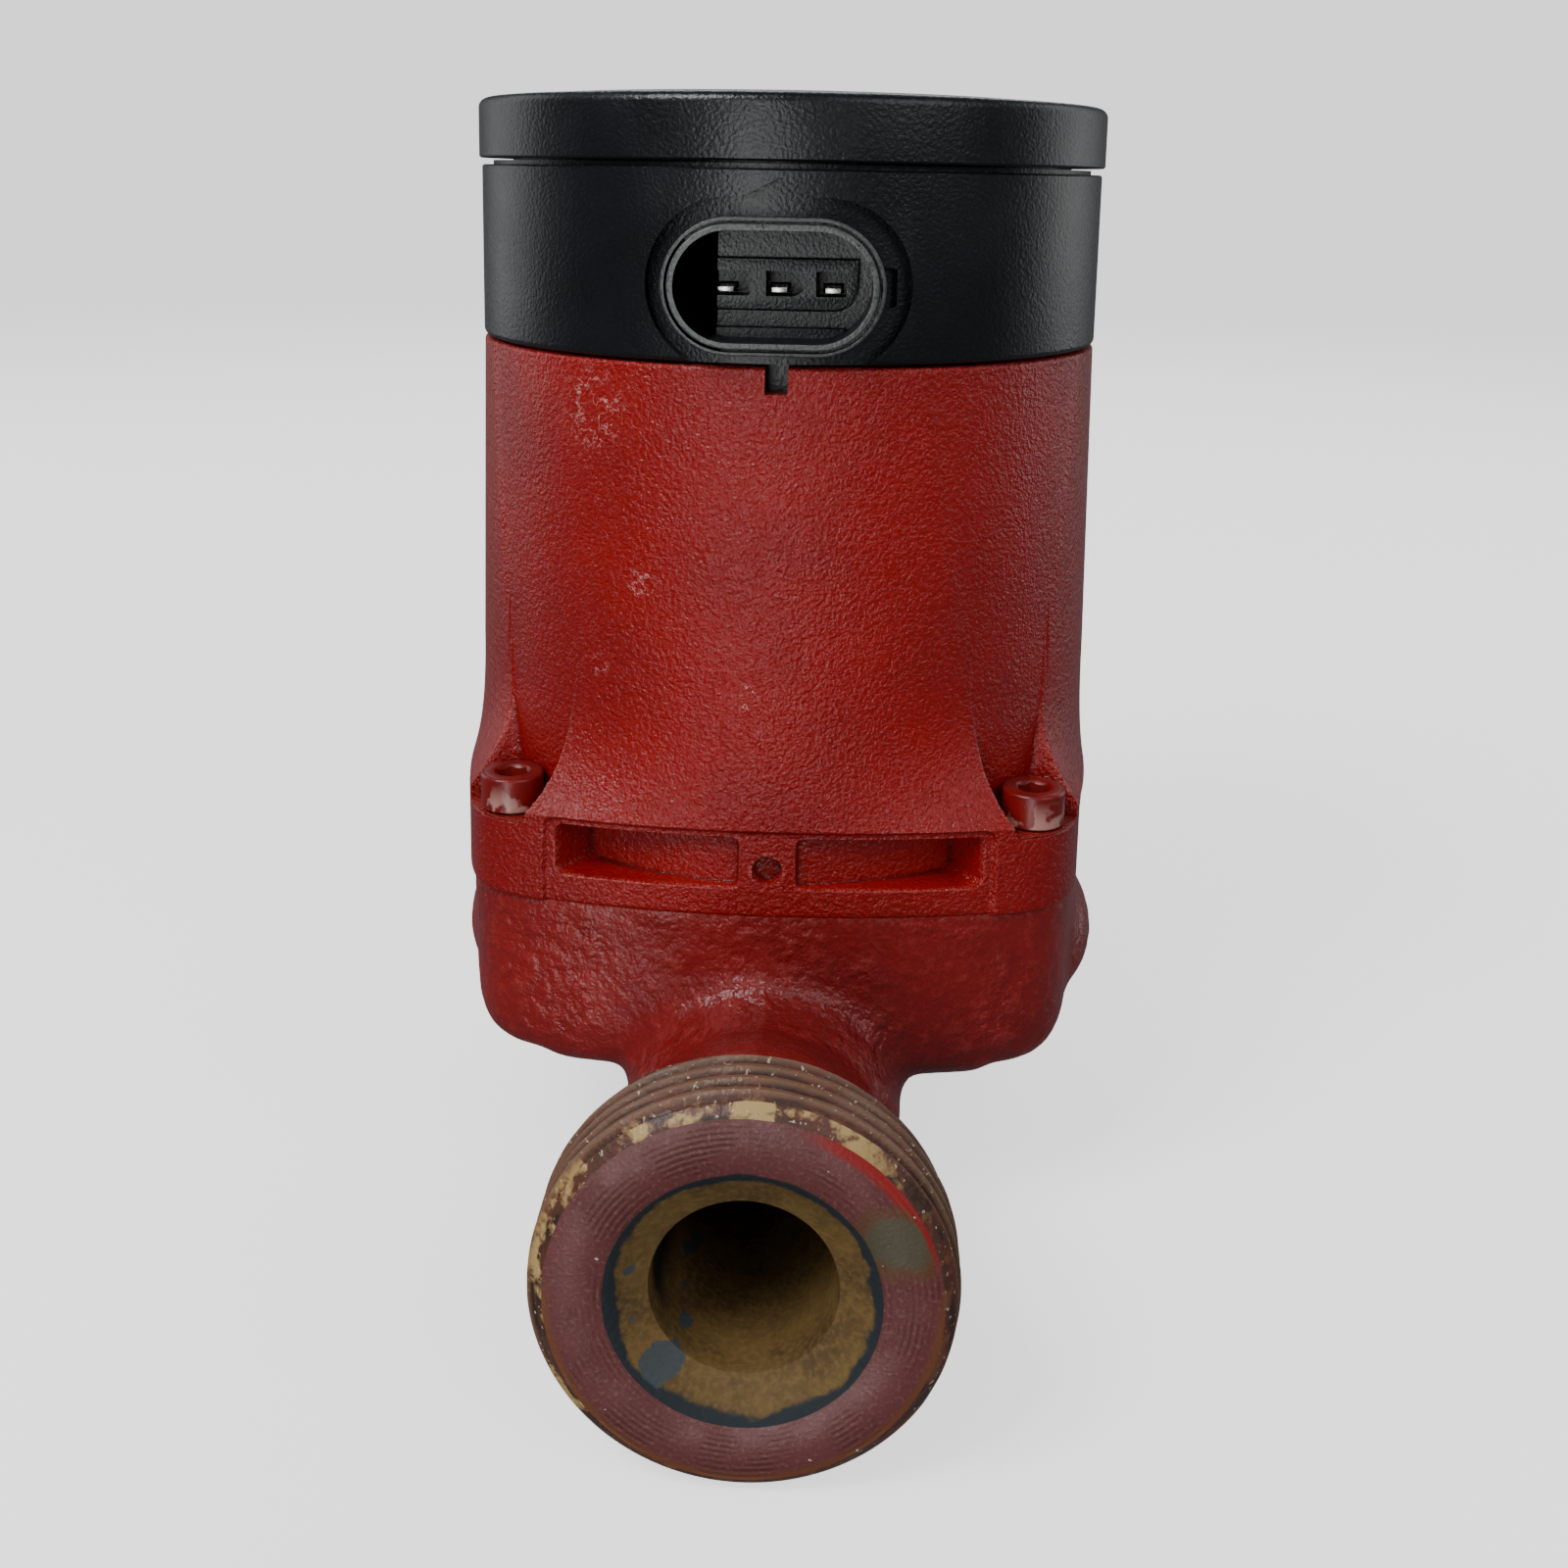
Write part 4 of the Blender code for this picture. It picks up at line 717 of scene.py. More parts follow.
def case_radius(angle, height, hollowed):
    """The stator housing's outside as a radius for each direction and height.

    hollowed is how much of the hollow round each screw applies: none under the ledge, all above it.
    """
    turn = (angle + math.pi / 4) % (math.pi / 2) - math.pi / 4  # from the middle of the nearest side
    flange = bowed_square(angle, LUG_HALF)
    case = SKIRT_RADIUS - (SKIRT_RADIUS - CASE_RADIUS) * np.clip(
        (height - SKIRT_TOP) / (CASE_TOP - SKIRT_TOP), 0, 1
    )
    rise = np.clip((height - SKIRT_BOTTOM) / (SKIRT_TOP - SKIRT_BOTTOM), 0, 1)
    body = case + np.maximum(flange - case, 0) * (1 - rise) ** 2.4

    # recessed panel, then its pockets and blind hole
    across = body * np.sin(turn)
    panel_middle = (0, CASE_BOTTOM - 10 * MM)
    panel_half = (PANEL_HALF, SKIRT_BOTTOM - CASE_BOTTOM + 10 * MM)
    panel = inside_rounded(across, height, panel_middle, panel_half, 1.8 * MM)
    surface = body - PANEL_DEPTH * smooth(panel, -0.1 * MM, 0.5 * MM)
    pocket_height = (POCKET_BOTTOM + POCKET_TOP) / 2
    pocket_tall = (POCKET_TOP - POCKET_BOTTOM) / 2
    pocket = inside_rounded(
        np.abs(across), height, (POCKET_MIDDLE, pocket_height), (POCKET_HALF, pocket_tall), 1.1 * MM
    )
    depth = smooth(pocket, -0.3 * MM, 0.35 * MM)
    surface = surface + (np.minimum(POCKET_FLOOR, surface) - surface) * depth
    hole = HOLE_RADIUS - np.hypot(across, height - HOLE_HEIGHT)
    surface = surface + (HOLE_FLOOR - surface) * smooth(hole, -0.15 * MM, 0.25 * MM)

    # hollow round each screw head, which opens upwards and never reaches into the round case
    reach = SCREW_REACH * math.sqrt(2)
    from_corner = math.pi / 4 - np.abs(turn)
    opening = SCALLOP_RADIUS + SCALLOP_SPREAD * np.maximum(height - LEDGE, 0)
    opening = opening - rounding(height - LEDGE, 0.6 * MM)
    side = reach * np.sin(from_corner)
    square = opening**2 - side**2
    entry = reach * np.cos(from_corner) - np.sqrt(np.maximum(square, 0))
    hollow = np.where(square > 0, np.maximum(entry, case), 1.0)
    hollow_surface = soft_min(surface, hollow, 0.8 * MM)
    near_edge = rounding(LEDGE - height, 0.5 * MM) * (height < LEDGE) * smooth(square, 0, 4 * MM * MM)
    surface = surface - near_edge
    surface = surface + (hollow_surface - surface) * hollowed
    surface = surface - rounding(height - CASE_BOTTOM, 0.9 * MM) - rounding(CASE_TOP - height, 0.5 * MM)
    return surface


def graded(stops):
    """Values from one stop to the next, each stop being (end, step)."""
    values = [stops[0][0]]
    for end, step in stops[1:]:
        start = values[-1]
        count = max(1, round((end - start) / step))
        values += [start + (end - start) * (i + 1) / count for i in range(count)]
    return values


def make_stator_housing(look):
    half = graded([
        (0, 0), (2.8, 0.28), (4.1, 0.65), (5.8, 0.14), (33.2, 1.0), (36.4, 0.14), (39.5, 0.22), (45, 0.5)
    ])
    one_side = [-value for value in reversed(half[1:])] + half[:-1]
    columns = [math.radians(90 * quarter + value) for quarter in range(4) for value in one_side]
    rows = [(value * MM, 0.0) for value in graded([
        (23.6, 0), (24.5, 0.13), (27.4, 0.6), (28.6, 0.12), (32.4, 0.27), (33.9, 0.4), (34.45, 0.11)
    ])]
    rows += [(LEDGE, share) for share in (0.0, 0.03, 0.97)]
    rows += [(value * MM, 1.0) for value in graded([
        (34.52, 0), (35.1, 0.11), (35.5, 0.2), (36.5, 0.11), (52, 0.75), (95.9, 5.5), (96.5, 0.1)
    ])]
    nominal = 50 * MM
    bottom_lip = CASE_BORE + 0.4 * MM
    profile = [(0, PLATE_TOP), (CASE_BORE, PLATE_TOP), (CASE_BORE, CASE_TOP - 0.3 * MM), (bottom_lip, CASE_TOP)]
    profile += [(nominal, height) for height, _ in reversed(rows)]
    profile += [(bottom_lip, CASE_BOTTOM), (CASE_BORE, CASE_BOTTOM + 0.3 * MM)]
    profile += [(CASE_BORE, PLATE_BOTTOM), (0, PLATE_BOTTOM)]
    # rows at the same height are told apart by a small lift, taken away again below
    lift = 1e-6
    first = 4
    profile = [
        (radius, height + lift * (first + len(rows) - i) if first <= i < first + len(rows) else height)
        for i, (radius, height) in enumerate(profile)
    ]
    shape = spun(profile, len(columns))
    piece = new_piece("stator_housing_shell", shape, look)
    mesh = piece.data
    co = points_of(mesh)
    radius = np.hypot(co[:, 0], co[:, 1])
    step = TAU / len(columns)
    index = np.round(np.arctan2(co[:, 1], co[:, 0]) / step).astype(int) % len(columns)
    angle = np.array(columns)[index]
    outside = radius > nominal - 1 * MM
    heights = np.array([height for height, _ in rows])
    shares = np.array([share for _, share in rows])
    lifted = heights + lift * (1 + np.arange(len(rows)))
    row = np.abs(co[:, 2, None] - lifted[None, :]).argmin(1)
    height = np.where(outside, heights[row], co[:, 2])
    surface = case_radius(angle, height, shares[row])
    radius = np.where(outside, surface, radius)
    set_points(mesh, np.stack([radius * np.cos(angle), radius * np.sin(angle), height], 1))

    bosses = [moved(spun([(0, CASE_TOP - GAP), (3.4 * MM, CASE_TOP - GAP), (3.4 * MM, 90 * MM), (0, 90 * MM)], 32),
                    (x, y, 0)) for x in (-24 * MM, 24 * MM) for y in (-24 * MM, 24 * MM)]
    combine(piece, "UNION", *bosses)
    cutters = [boxed((-1.4 * MM, -50 * MM, 93.2 * MM), (1.5 * MM, -38 * MM, CASE_TOP + MM), 0.12 * MM, 2),
               boxed((-8.5 * MM, 33.5 * MM, 87 * MM), (8.5 * MM, 36.5 * MM, 94 * MM), 0.5 * MM)]
    for x in (-24 * MM, 24 * MM):
        for y in (-24 * MM, 24 * MM):
            hole = [(0, 98 * MM), (2.2 * MM, 98 * MM), (2.2 * MM, 87 * MM), (0, 87 * MM)]
            cutters.append(moved(spun(hole, 24), (x, y, 0)))
    for centre in SCREW_CENTRES:
        hole = [(0, LEDGE + MM), (2.8 * MM, LEDGE + MM), (2.8 * MM, 22 * MM), (0, 22 * MM)]
        cutters.append(moved(spun(hole, 32), (centre.x, centre.y, 0)))
    combine(piece, "DIFFERENCE", *cutters)
    finish(piece, "housing", "coated_aluminium", "stator_housing")
    return piece


# --------------------------------------------------------------- pump housing


def fill_concave(mesh, rounds, ease):
    """Fills inside corners as a casting does: a point moves only outwards, towards its neighbours."""
    for _ in range(rounds):
        co = points_of(mesh)
        pull = neighbours_mean(mesh, co) - co
        outwards = (pull * normals_of(mesh)).sum(1) > 0
        co[outwards] += ease * pull[outwards]
        set_points(mesh, co)


def port_half(face_side):
    """The turned end of the pipe, from its face to behind the thread, with a real helix."""
    rows = [(THREAD_CREST - PORT_CHAMFER - 0.1 * MM, PORT_FACE)]
    finest = THREAD_PITCH / 10
    count = int((PORT_FACE - THREAD_END) / finest)
    for i in range(count + 1):
        rows.append((THREAD_CREST, PORT_FACE - 0.12 * MM - (PORT_FACE - THREAD_END) * i / count))
    tail = THREAD_END - 3 * MM
    rows += [(NECK - 0.3 * MM, THREAD_END - 0.8 * MM), (NECK - 0.3 * MM, tail)]
    shape = spun([(0, PORT_FACE)] + rows + [(0, tail)], 256)
    for vert in shape.verts:
        radius = math.hypot(vert.co.x, vert.co.y)
        if radius < THREAD_CREST - 0.5 * MM:
            continue
        angle = math.atan2(vert.co.y, vert.co.x)
        back = PORT_FACE - vert.co.z
        phase = (back / THREAD_PITCH + angle / TAU) % 1.0
        tooth = min(1.0, max(0.0, 1.35 - 2.7 * abs(phase - 0.5) * 1.0))
        worn = 0.12 * MM * noise.noise(vert.co * 260)
        height = THREAD_ROOT + (THREAD_CREST - THREAD_ROOT) * tooth + min(worn, 0)
        chamfer = THREAD_CREST - PORT_CHAMFER + back
        runout = THREAD_ROOT + 0.8 * MM
        if back > PORT_FACE - THREAD_END - 0.6 * THREAD_PITCH:
            height = min(height, runout)
        new = min(height, chamfer)
        vert.co.x *= new / radius
        vert.co.y *= new / radius
    turn_to_pipe(shape)
    if face_side > 0:
        bmesh.ops.rotate(shape, verts=shape.verts, cent=(0, 0, 0), matrix=Matrix.Rotation(math.pi, 3, "Z"))
    return shape


def tube_through(route, segments=24):
    """A round passage along (point, radius) pairs: a ring is extruded from one point to the next."""
    shape = bmesh.new()
    points = [Vector(where) for where, _ in route]
    ring = None
    for i, (where, radius) in enumerate(route):
        ahead = points[min(i + 1, len(points) - 1)] - points[max(i - 1, 0)]
        turn = ahead.to_track_quat("Z", "Y").to_matrix().to_4x4()
        place = Matrix.Translation(points[i]) @ turn
        if ring is None:
            made = bmesh.ops.create_circle(shape, segments=segments, radius=radius, cap_ends=True, matrix=place)
            ring = made["verts"]
            edges = shape.edges[:]
            continue
        pushed = bmesh.ops.extrude_edge_only(shape, edges=edges)["geom"]
        ring = [v for v in pushed if isinstance(v, bmesh.types.BMVert)]
        edges = [e for e in pushed if isinstance(e, bmesh.types.BMEdge)]
        for step, vert in enumerate(ring):
            vert.co = place @ Vector((radius * math.cos(TAU * step / segments),
                                      radius * math.sin(TAU * step / segments), 0))
    shape.faces.new(ring)
    bmesh.ops.recalc_face_normals(shape, faces=shape.faces)
    return shape


def make_pump_housing(iron, face, thread, bore):
    top = IRON_TOP + 2 * MM  # cut back to the flange face once the casting is smooth
    outline = FLANGE_HALF
    levels = [(0, top), (outline, top)]
    for height, inset in ((12, 0.1), (5.5, 0.3), (3.2, 0.8), (1.4, 1.9), (0.2, 3.4), (-0.3, 5.2), (-0.5, 7)):
        levels.append((outline - inset * MM, height * MM))
    levels.append((0, -0.5 * MM))
    block = spun(levels, 160)
    for vert in block.verts:
        x, y, z = vert.co
        radius = math.hypot(x, y)
        if radius > MM:
            reach = float(bowed_square(np.array(math.atan2(y, x)), outline)) - (outline - radius)
            vert.co = (x * reach / radius, y * reach / radius, z - 0.9 * MM * (z < 5 * MM) * (abs(x) < 26 * MM))
    outlet = [(0, -77 * MM), (NECK, -77 * MM), (NECK, -BORE_END), (BELLY, -FLANGE_HALF), (BELLY, 0)]
    pipe = turn_to_pipe(spun(outlet + [(14 * MM, 36 * MM), (0, 36 * MM)], 96))
    # the inlet neck sinks towards the impeller's eye and flares into the block's front wall
    neck = tube_through([((0, y * MM, z * MM), radius * MM) for y, z, radius in (
        (-77, 0, 17.8), (-74, -0.2, 17.8), (-70, -0.8, 17.6), (-66, -1.7, 17.3), (-62, -2.8, 17), (-57, -5, 16.7),
        (-53, -6.9, 16.5), (-49.5, -6.4, 17.2), (-47, -5.6, 18), (-45, -5, 18.6), (-40, -5, 18.6), (-30, -6, 16.5),
        (0, -4, 14),
    )], 64)
    bulges = []
    for side, reach in ((-1, 47.15 * MM), (1, 48.35 * MM)):
        bulge = bmesh.new()
        bmesh.ops.create_uvsphere(bulge, u_segments=48, v_segments=24, radius=1.0)
        bmesh.ops.scale(bulge, vec=(reach - 30 * MM, 29 * MM, 11.2 * MM), verts=bulge.verts)
        bulges.append(moved(bulge, (side * 30 * MM, -6 * MM, 8.6 * MM)))
    piece = new_piece("pump_housing_casting", block, iron, face, thread, bore)
    combine(piece, "UNION", pipe, neck, *bulges)
    remesh = piece.modifiers.new("remesh", "REMESH")
    remesh.mode = "VOXEL"
    remesh.voxel_size = 0.85 * MM
    settle(piece)
    mesh = piece.data
    for _ in range(5):
        co = points_of(mesh)
        set_points(mesh, co + 0.5 * (neighbours_mean(mesh, co) - co))
    fill_concave(mesh, 30, 0.6)
    co = points_of(mesh)
    n = normals_of(mesh)
    lumps = np.array([noise.noise(Vector(p) / (3.2 * MM)) for p in co])
    seam = np.exp(-((co[:, 0] / (0.7 * MM)) ** 2)) * (co[:, 2] > 2 * MM)
    flat = smooth(np.abs(co[:, 1]), 76 * MM, 72 * MM)
    set_points(mesh, co + n * ((0.09 * lumps + 0.3 * seam) * MM * flat)[:, None])

    shape = bmesh.new()
    shape.from_mesh(mesh)
    for origin, away in (((0, 0, IRON_TOP), (0, 0, 1)), ((0, 76 * MM, 0), (0, 1, 0)), ((0, -76 * MM, 0), (0, -1, 0))):
        geom = shape.verts[:] + shape.edges[:] + shape.faces[:]
        cut = bmesh.ops.bisect_plane(shape, geom=geom, plane_co=origin, plane_no=away, clear_outer=True)
        rim = [e for e in cut["geom_cut"] if isinstance(e, bmesh.types.BMEdge)]
        bmesh.ops.holes_fill(shape, edges=rim, sides=0)
    bmesh.ops.recalc_face_normals(shape, faces=shape.faces)
    shape.to_mesh(mesh)
    shape.free()

    combine(piece, "UNION", port_half(-1), port_half(1))
    cutters = [spun([
        (0, IRON_TOP + MM), (41.6 * MM, IRON_TOP + MM), (41.6 * MM, 18.3 * MM), (35 * MM, 18.3 * MM),
        (35 * MM, 6.5 * MM), (34 * MM, 5.5 * MM), (13 * MM, 5.5 * MM), (13 * MM, 1 * MM), (9.6 * MM, 1 * MM),
        (9.6 * MM, -7 * MM), (0, -7 * MM),
    ], 128)]
    volute = [(0, 19.3 * MM), (35 * MM, 19.3 * MM), (35 * MM, 6.6 * MM), (34 * MM, 5.6 * MM), (0, 5.6 * MM)]
    tools = [cutters, [moved(spun(volute, 128), (2.4 * MM, 1.2 * MM, 0))]]
    wide = BORE * 0.98
    tools.append([tube_through([
        ((0, -INLET_BORE_END - 4 * MM, 0), wide), ((0, -INLET_BORE_END, -0.5 * MM), wide),
        ((0, -48 * MM, -5.5 * MM), 8 * MM), ((0, -30 * MM, -8 * MM), 8 * MM), ((0, -14 * MM, -8.5 * MM), 8 * MM),
        ((0, -5 * MM, -7.5 * MM), 8 * MM), ((0, 2 * MM, -5 * MM), 6.4 * MM),
    ])])
    tools.append([tube_through([
        ((25 * MM, 12 * MM, 11.6 * MM), 6 * MM), ((21 * MM, 27 * MM, 10 * MM), 7 * MM),
        ((12 * MM, 39 * MM, 5 * MM), 8 * MM), ((4 * MM, 48 * MM, MM), 8 * MM),
        ((0, BORE_END, 0), wide), ((0, BORE_END + 4 * MM, 0), wide),
    ])])
    bores = []
    for side, bore_end in ((-1, INLET_BORE_END), (1, BORE_END)):
        mouth = spun([
            (0, PORT_FACE + MM), (COUNTERSINK + 1.2 * MM, PORT_FACE + MM), (COUNTERSINK + 0.1 * MM, PORT_FACE),
            (COUNTERSINK - 1.2 * MM, PORT_FACE - 0.9 * MM), (BORE + 0.9 * MM, PORT_FACE - COUNTERSINK_DEPTH),
            (BORE + 0.2 * MM, PORT_FACE - COUNTERSINK_DEPTH - 0.3 * MM),
            (BORE, PORT_FACE - COUNTERSINK_DEPTH - 0.9 * MM), (BORE, bore_end), (0, bore_end),
        ], 128)
        turn_to_pipe(mouth)
        if side > 0:
            bmesh.ops.rotate(mouth, verts=mouth.verts, cent=(0, 0, 0), matrix=Matrix.Rotation(math.pi, 3, "Z"))
        bores.append(mouth)
    tools.append(bores)
    tapped = []
    for centre in SCREW_CENTRES:
        hole = [(0, IRON_TOP + MM), (2.8 * MM, IRON_TOP + MM), (2.8 * MM, 10 * MM), (0, 10 * MM)]
        tapped.append(moved(spun(hole, 32), (centre.x, centre.y, 0)))
    tools.append(tapped)
    for group in tools:
        combine(piece, "DIFFERENCE", *group)
    paint_regions(piece.data)
    finish(piece, "housing", "coated_iron", "pump_housing")
    return piece


def paint_regions(mesh):
    """Gives the port faces, the threads and the water ways their own finish."""
    for polygon in mesh.polygons:
        x, y, z = polygon.center
        radius = math.hypot(x, z)
        along = abs(y)
        up = math.hypot(x, y)
        if along > PORT_FACE - 0.02 * MM:
            polygon.material_index = 1
        elif along > THREAD_END - 1.2 * MM and radius > 19.5 * MM:
            polygon.material_index = 2
        elif in_water_way(polygon) or (
            up < 41.7 * MM and polygon.normal.z > -2 and not on_outside(x, y, z, polygon.normal)
        ):
            polygon.material_index = 3
        else:
            polygon.material_index = 0


def in_water_way(polygon):
    """Whether a face lines a port's bore or the passage behind it: it faces the middle of the hole."""
    x, y, z = polygon.center
    if abs(y) > BORE_END - 10 * MM and math.hypot(x, z) < COUNTERSINK + 0.5 * MM:
        middle = (0, -4 * MM) if -INLET_BORE_END < y < 0 else (2 * MM if y < BORE_END and y > 0 else 0, 0)
        inwards = (x - middle[0]) * polygon.normal.x + (z - middle[1]) * polygon.normal.z < 0
        return inwards or abs(y) > PORT_FACE - 4 * MM
    return False


def on_outside(x, y, z, normal):
    """Whether a face inside the flange outline still belongs to the casting's outside."""
    if z > IRON_TOP - 0.05 * MM:
        return True
    radius = math.hypot(x, z)
    if abs(y) < 62 * MM and radius < 13 * MM and z < 6 * MM:
        return False
    if z > 1 * MM and math.hypot(x - 1.2 * MM, y) < 41.7 * MM:
        return radius > 17 * MM and math.hypot(x, y) > 40 * MM and normal.dot(Vector((x, y, 0))) > 0
    return True


def make_flange_screws(look):
    """Four M5 socket screws: turned head and shank with a hexagon socket."""
    head = 4.25 * MM
    base = LEDGE + GAP
    rim = 0.5 * MM
    curve = [(head - rim * (1 - math.sin(a)), SCREW_TOP - rim * (1 - math.cos(a)))
             for a in [math.pi / 2 * i / 5 for i in range(6)]]
    profile = [(0, SCREW_TOP)] + curve + [
        (head, base + 0.2 * MM), (head - 0.2 * MM, base), (2.5 * MM, base), (2.5 * MM, SCREW_END + 0.5 * MM),
        (2 * MM, SCREW_END), (0, SCREW_END),
    ]
    for i, centre in enumerate(SCREW_CENTRES):
        shape = spun(profile, 64)
        moved(shape, (centre.x, centre.y, 0))
        piece = new_piece(f"flange_socket_screw_{i + 1}", shape, look)
        key = bmesh.new()
        bmesh.ops.create_cone(key, cap_ends=True, segments=6, radius1=2.31 * MM, radius2=2.31 * MM, depth=5.2 * MM)
        bmesh.ops.rotate(key, verts=key.verts, cent=(0, 0, 0), matrix=Matrix.Rotation(0.3 + i * 0.8, 3, "Z"))
        moved(key, (centre.x, centre.y, SCREW_TOP))
        lead = spun([(0, SCREW_TOP + 0.2 * MM), (2.7 * MM, SCREW_TOP + 0.2 * MM), (2.0 * MM, SCREW_TOP - 0.5 * MM),
                     (0, SCREW_TOP - 0.5 * MM)], 48)
        moved(lead, (centre.x, centre.y, 0))
        combine(piece, "DIFFERENCE", key)
        combine(piece, "DIFFERENCE", lead)
        shape = bmesh.new()
        shape.from_mesh(piece.data)
        bmesh.ops.remove_doubles(shape, verts=shape.verts, dist=1e-6)
        edges = [e for e in sharp_edges(shape, 40) if all(v.co.z > SCREW_TOP - 3 * MM for v in e.verts)]
        soften(shape, edges, 0.12 * MM, 2)
        shape.to_mesh(piece.data)
        shape.free()
        finish(piece, "housing", "painted_screw", f"flange_screw_{i + 1}", smooth=40)


# ---------------------------------------------------------------- control box


def make_control_box(plastic, socket_plastic, shadow_painted_plastic):
    x0, z0 = SOCKET
    bottom_edge = [(BOX_RADIUS - 0.8 * MM * (1 - math.cos(a)), BOX_BOTTOM + 0.8 * MM * (1 - math.sin(a)))
                   for a in [math.pi / 2 * i / 5 for i in range(6)]]
    profile = [
        (0, 99.3 * MM), (BOX_INNER - 1.5 * MM, 99.3 * MM), (BOX_INNER, 100.8 * MM), (BOX_INNER, 121.5 * MM),
        (43.5 * MM, 121.5 * MM), (43.5 * MM, BOX_RIM), (BOX_RADIUS - 0.25 * MM, BOX_RIM),
        (BOX_RADIUS, BOX_RIM - 0.25 * MM),
    ]
    profile += bottom_edge
    profile += [(39.6 * MM, BOX_BOTTOM), (39.6 * MM, 92.6 * MM), (37.8 * MM, 92.6 * MM), (37.8 * MM, BOX_BOTTOM),
                (0, BOX_BOTTOM)]
    piece = new_piece("control_box_moulding", spun(profile, 288), plastic, socket_plastic, shadow_painted_plastic)

    # relief sunk round the socket: flat top with a pointed notch, round ends, wider round the latch
    relief = []
    reach = SOCKET_HALF_WIDTH - SOCKET_HALF_HEIGHT
    big = SOCKET_HALF_HEIGHT + 2.4 * MM
    for step in range(25):
        angle = -math.pi / 2 + math.pi * step / 24
        relief.append((x0 + reach + MM + big * math.cos(angle), z0 + big * math.sin(angle)))
    top = z0 + big
    relief += [(x0 + 4.7 * MM, top), (x0 + 0.8 * MM, top + 2.4 * MM), (x0 - 4 * MM, top)]
    for step in range(25):
        angle = math.pi / 2 + math.pi * step / 24
        relief.append((x0 - reach + big * math.cos(angle), z0 + big * math.sin(angle)))
    drum = spun([(0, 130 * MM), (43.6 * MM, 130 * MM), (43.6 * MM, 90 * MM), (0, 90 * MM)], 192)
    moat = new_piece("moat", slab(relief, -52 * MM, -30 * MM))
    combine(moat, "DIFFERENCE", drum)
    sunk = bmesh.new()
    sunk.from_mesh(moat.data)
    bpy.data.objects.remove(moat, do_unlink=True)
    combine(piece, "DIFFERENCE", sunk)

    # double wall: a thin outer wall, a groove, and the lip that the plug rubs
    def wall(inset):
        return stadium(SOCKET_HALF_WIDTH - inset * MM, SOCKET_HALF_HEIGHT - inset * MM)

    combine(piece, "UNION", slab(wall(0), SOCKET_FRONT + 0.6 * MM, -29 * MM, 0.18 * MM))
    combine(piece, "DIFFERENCE", slab(wall(0.45), SOCKET_FRONT - 2 * MM, -44.8 * MM))
    combine(piece, "UNION", slab(wall(0.85), SOCKET_FRONT, -30 * MM, 0.22 * MM))
    combine(piece, "DIFFERENCE", slab(wall(1.6), SOCKET_FRONT - 2 * MM, -31 * MM, 0.0))

    # insulating block: square upper corner, round lower corner, standing in a thin groove
    left = x0 - 9.6 * MM
    right = x0 + 10.5 * MM
    low = z0 - 3.4 * MM
    high = z0 + 3.1 * MM
    round_corner = 3.4 * MM
    face = [(left, low)]
    for step in range(13):
        angle = -math.pi / 2 + math.pi / 2 * step / 12
        face.append((right - round_corner + round_corner * math.cos(angle),
                     low + round_corner + round_corner * math.sin(angle)))
    face += [(right, high), (left, high)]
    # floor of the socket round the block, with a ledge along its lower side
    combine(piece, "UNION", slab(wall(1.2), -36.4 * MM, -30.5 * MM))
    ledge = [(x0 - 11 * MM, z0 - 8 * MM), (x0 + 9 * MM, z0 - 8 * MM), (x0 + 9 * MM, z0 - 5.6 * MM),
             (x0 - 11 * MM, z0 - 5.6 * MM)]
    combine(piece, "UNION", slab(ledge, -38.2 * MM, -31 * MM, 0.12 * MM))
    groove = [(left - 0.2 * MM if x == left else x + 0.22 * MM, z + (0.22 * MM if z > z0 else -0.22 * MM))
              for x, z in face]
    combine(piece, "DIFFERENCE", slab(groove, -40 * MM, -34.5 * MM))
    combine(piece, "UNION", slab(face, PIN_BLOCK_FRONT, -30 * MM, 0.12 * MM))
    # what lies left of the blades is a deep pocket
    pocket = [(x0 - 14 * MM, z0 - 8 * MM), (x0 - 7.5 * MM, z0 - 8 * MM), (x0 - 7.5 * MM, z0 + 8 * MM),
              (x0 - 14 * MM, z0 + 8 * MM)]
    hollow = new_piece("hollow", slab(pocket, -40 * MM, -31.2 * MM))
    outside = new_piece("outside", slab(stadium(60 * MM, 50 * MM), -41 * MM, -30 * MM))
    combine(outside, "DIFFERENCE", slab(wall(1.6), -42 * MM, -29 * MM))
    around = bmesh.new()
    around.from_mesh(outside.data)
    combine(hollow, "DIFFERENCE", around)
    deep = bmesh.new()
    deep.from_mesh(hollow.data)
    for spare in (hollow, outside):
        bpy.data.objects.remove(spare, do_unlink=True)
    combine(piece, "DIFFERENCE", deep)
    wells, passes = [], []
    for name, spare_left, spare_right, end in zip(BLADES, (1.3, 1.7, 2.2), (3.1, 3.1, 1.7), (0.3, 1.5, 0.3)):
        low_corner, high_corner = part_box(name)
        middle = (low_corner.x + high_corner.x) / 2
        bottom = low_corner.z - 0.4 * MM
        near, far = middle - spare_left * MM, middle + spare_right * MM
        curve = [(far - end * MM + end * MM * math.cos(a), bottom + (1.6 + side * (1.6 - end)) * MM
                  + end * MM * math.sin(a))
                 for side, first in ((-1, -math.pi / 2), (1, 0)) for a in [first + math.pi * k / 16 for k in range(9)]]
        wells.append(slab([(near, bottom)] + curve + [(near, bottom + 3.2 * MM)], -39 * MM, -31 * MM))
        passes.append(boxed((low_corner.x - 0.45 * MM, -32 * MM, low_corner.z - 0.25 * MM),
                            (high_corner.x + 0.45 * MM, -27 * MM, high_corner.z + 0.25 * MM)))
    combine(piece, "DIFFERENCE", *wells)
    combine(piece, "DIFFERENCE", *passes)

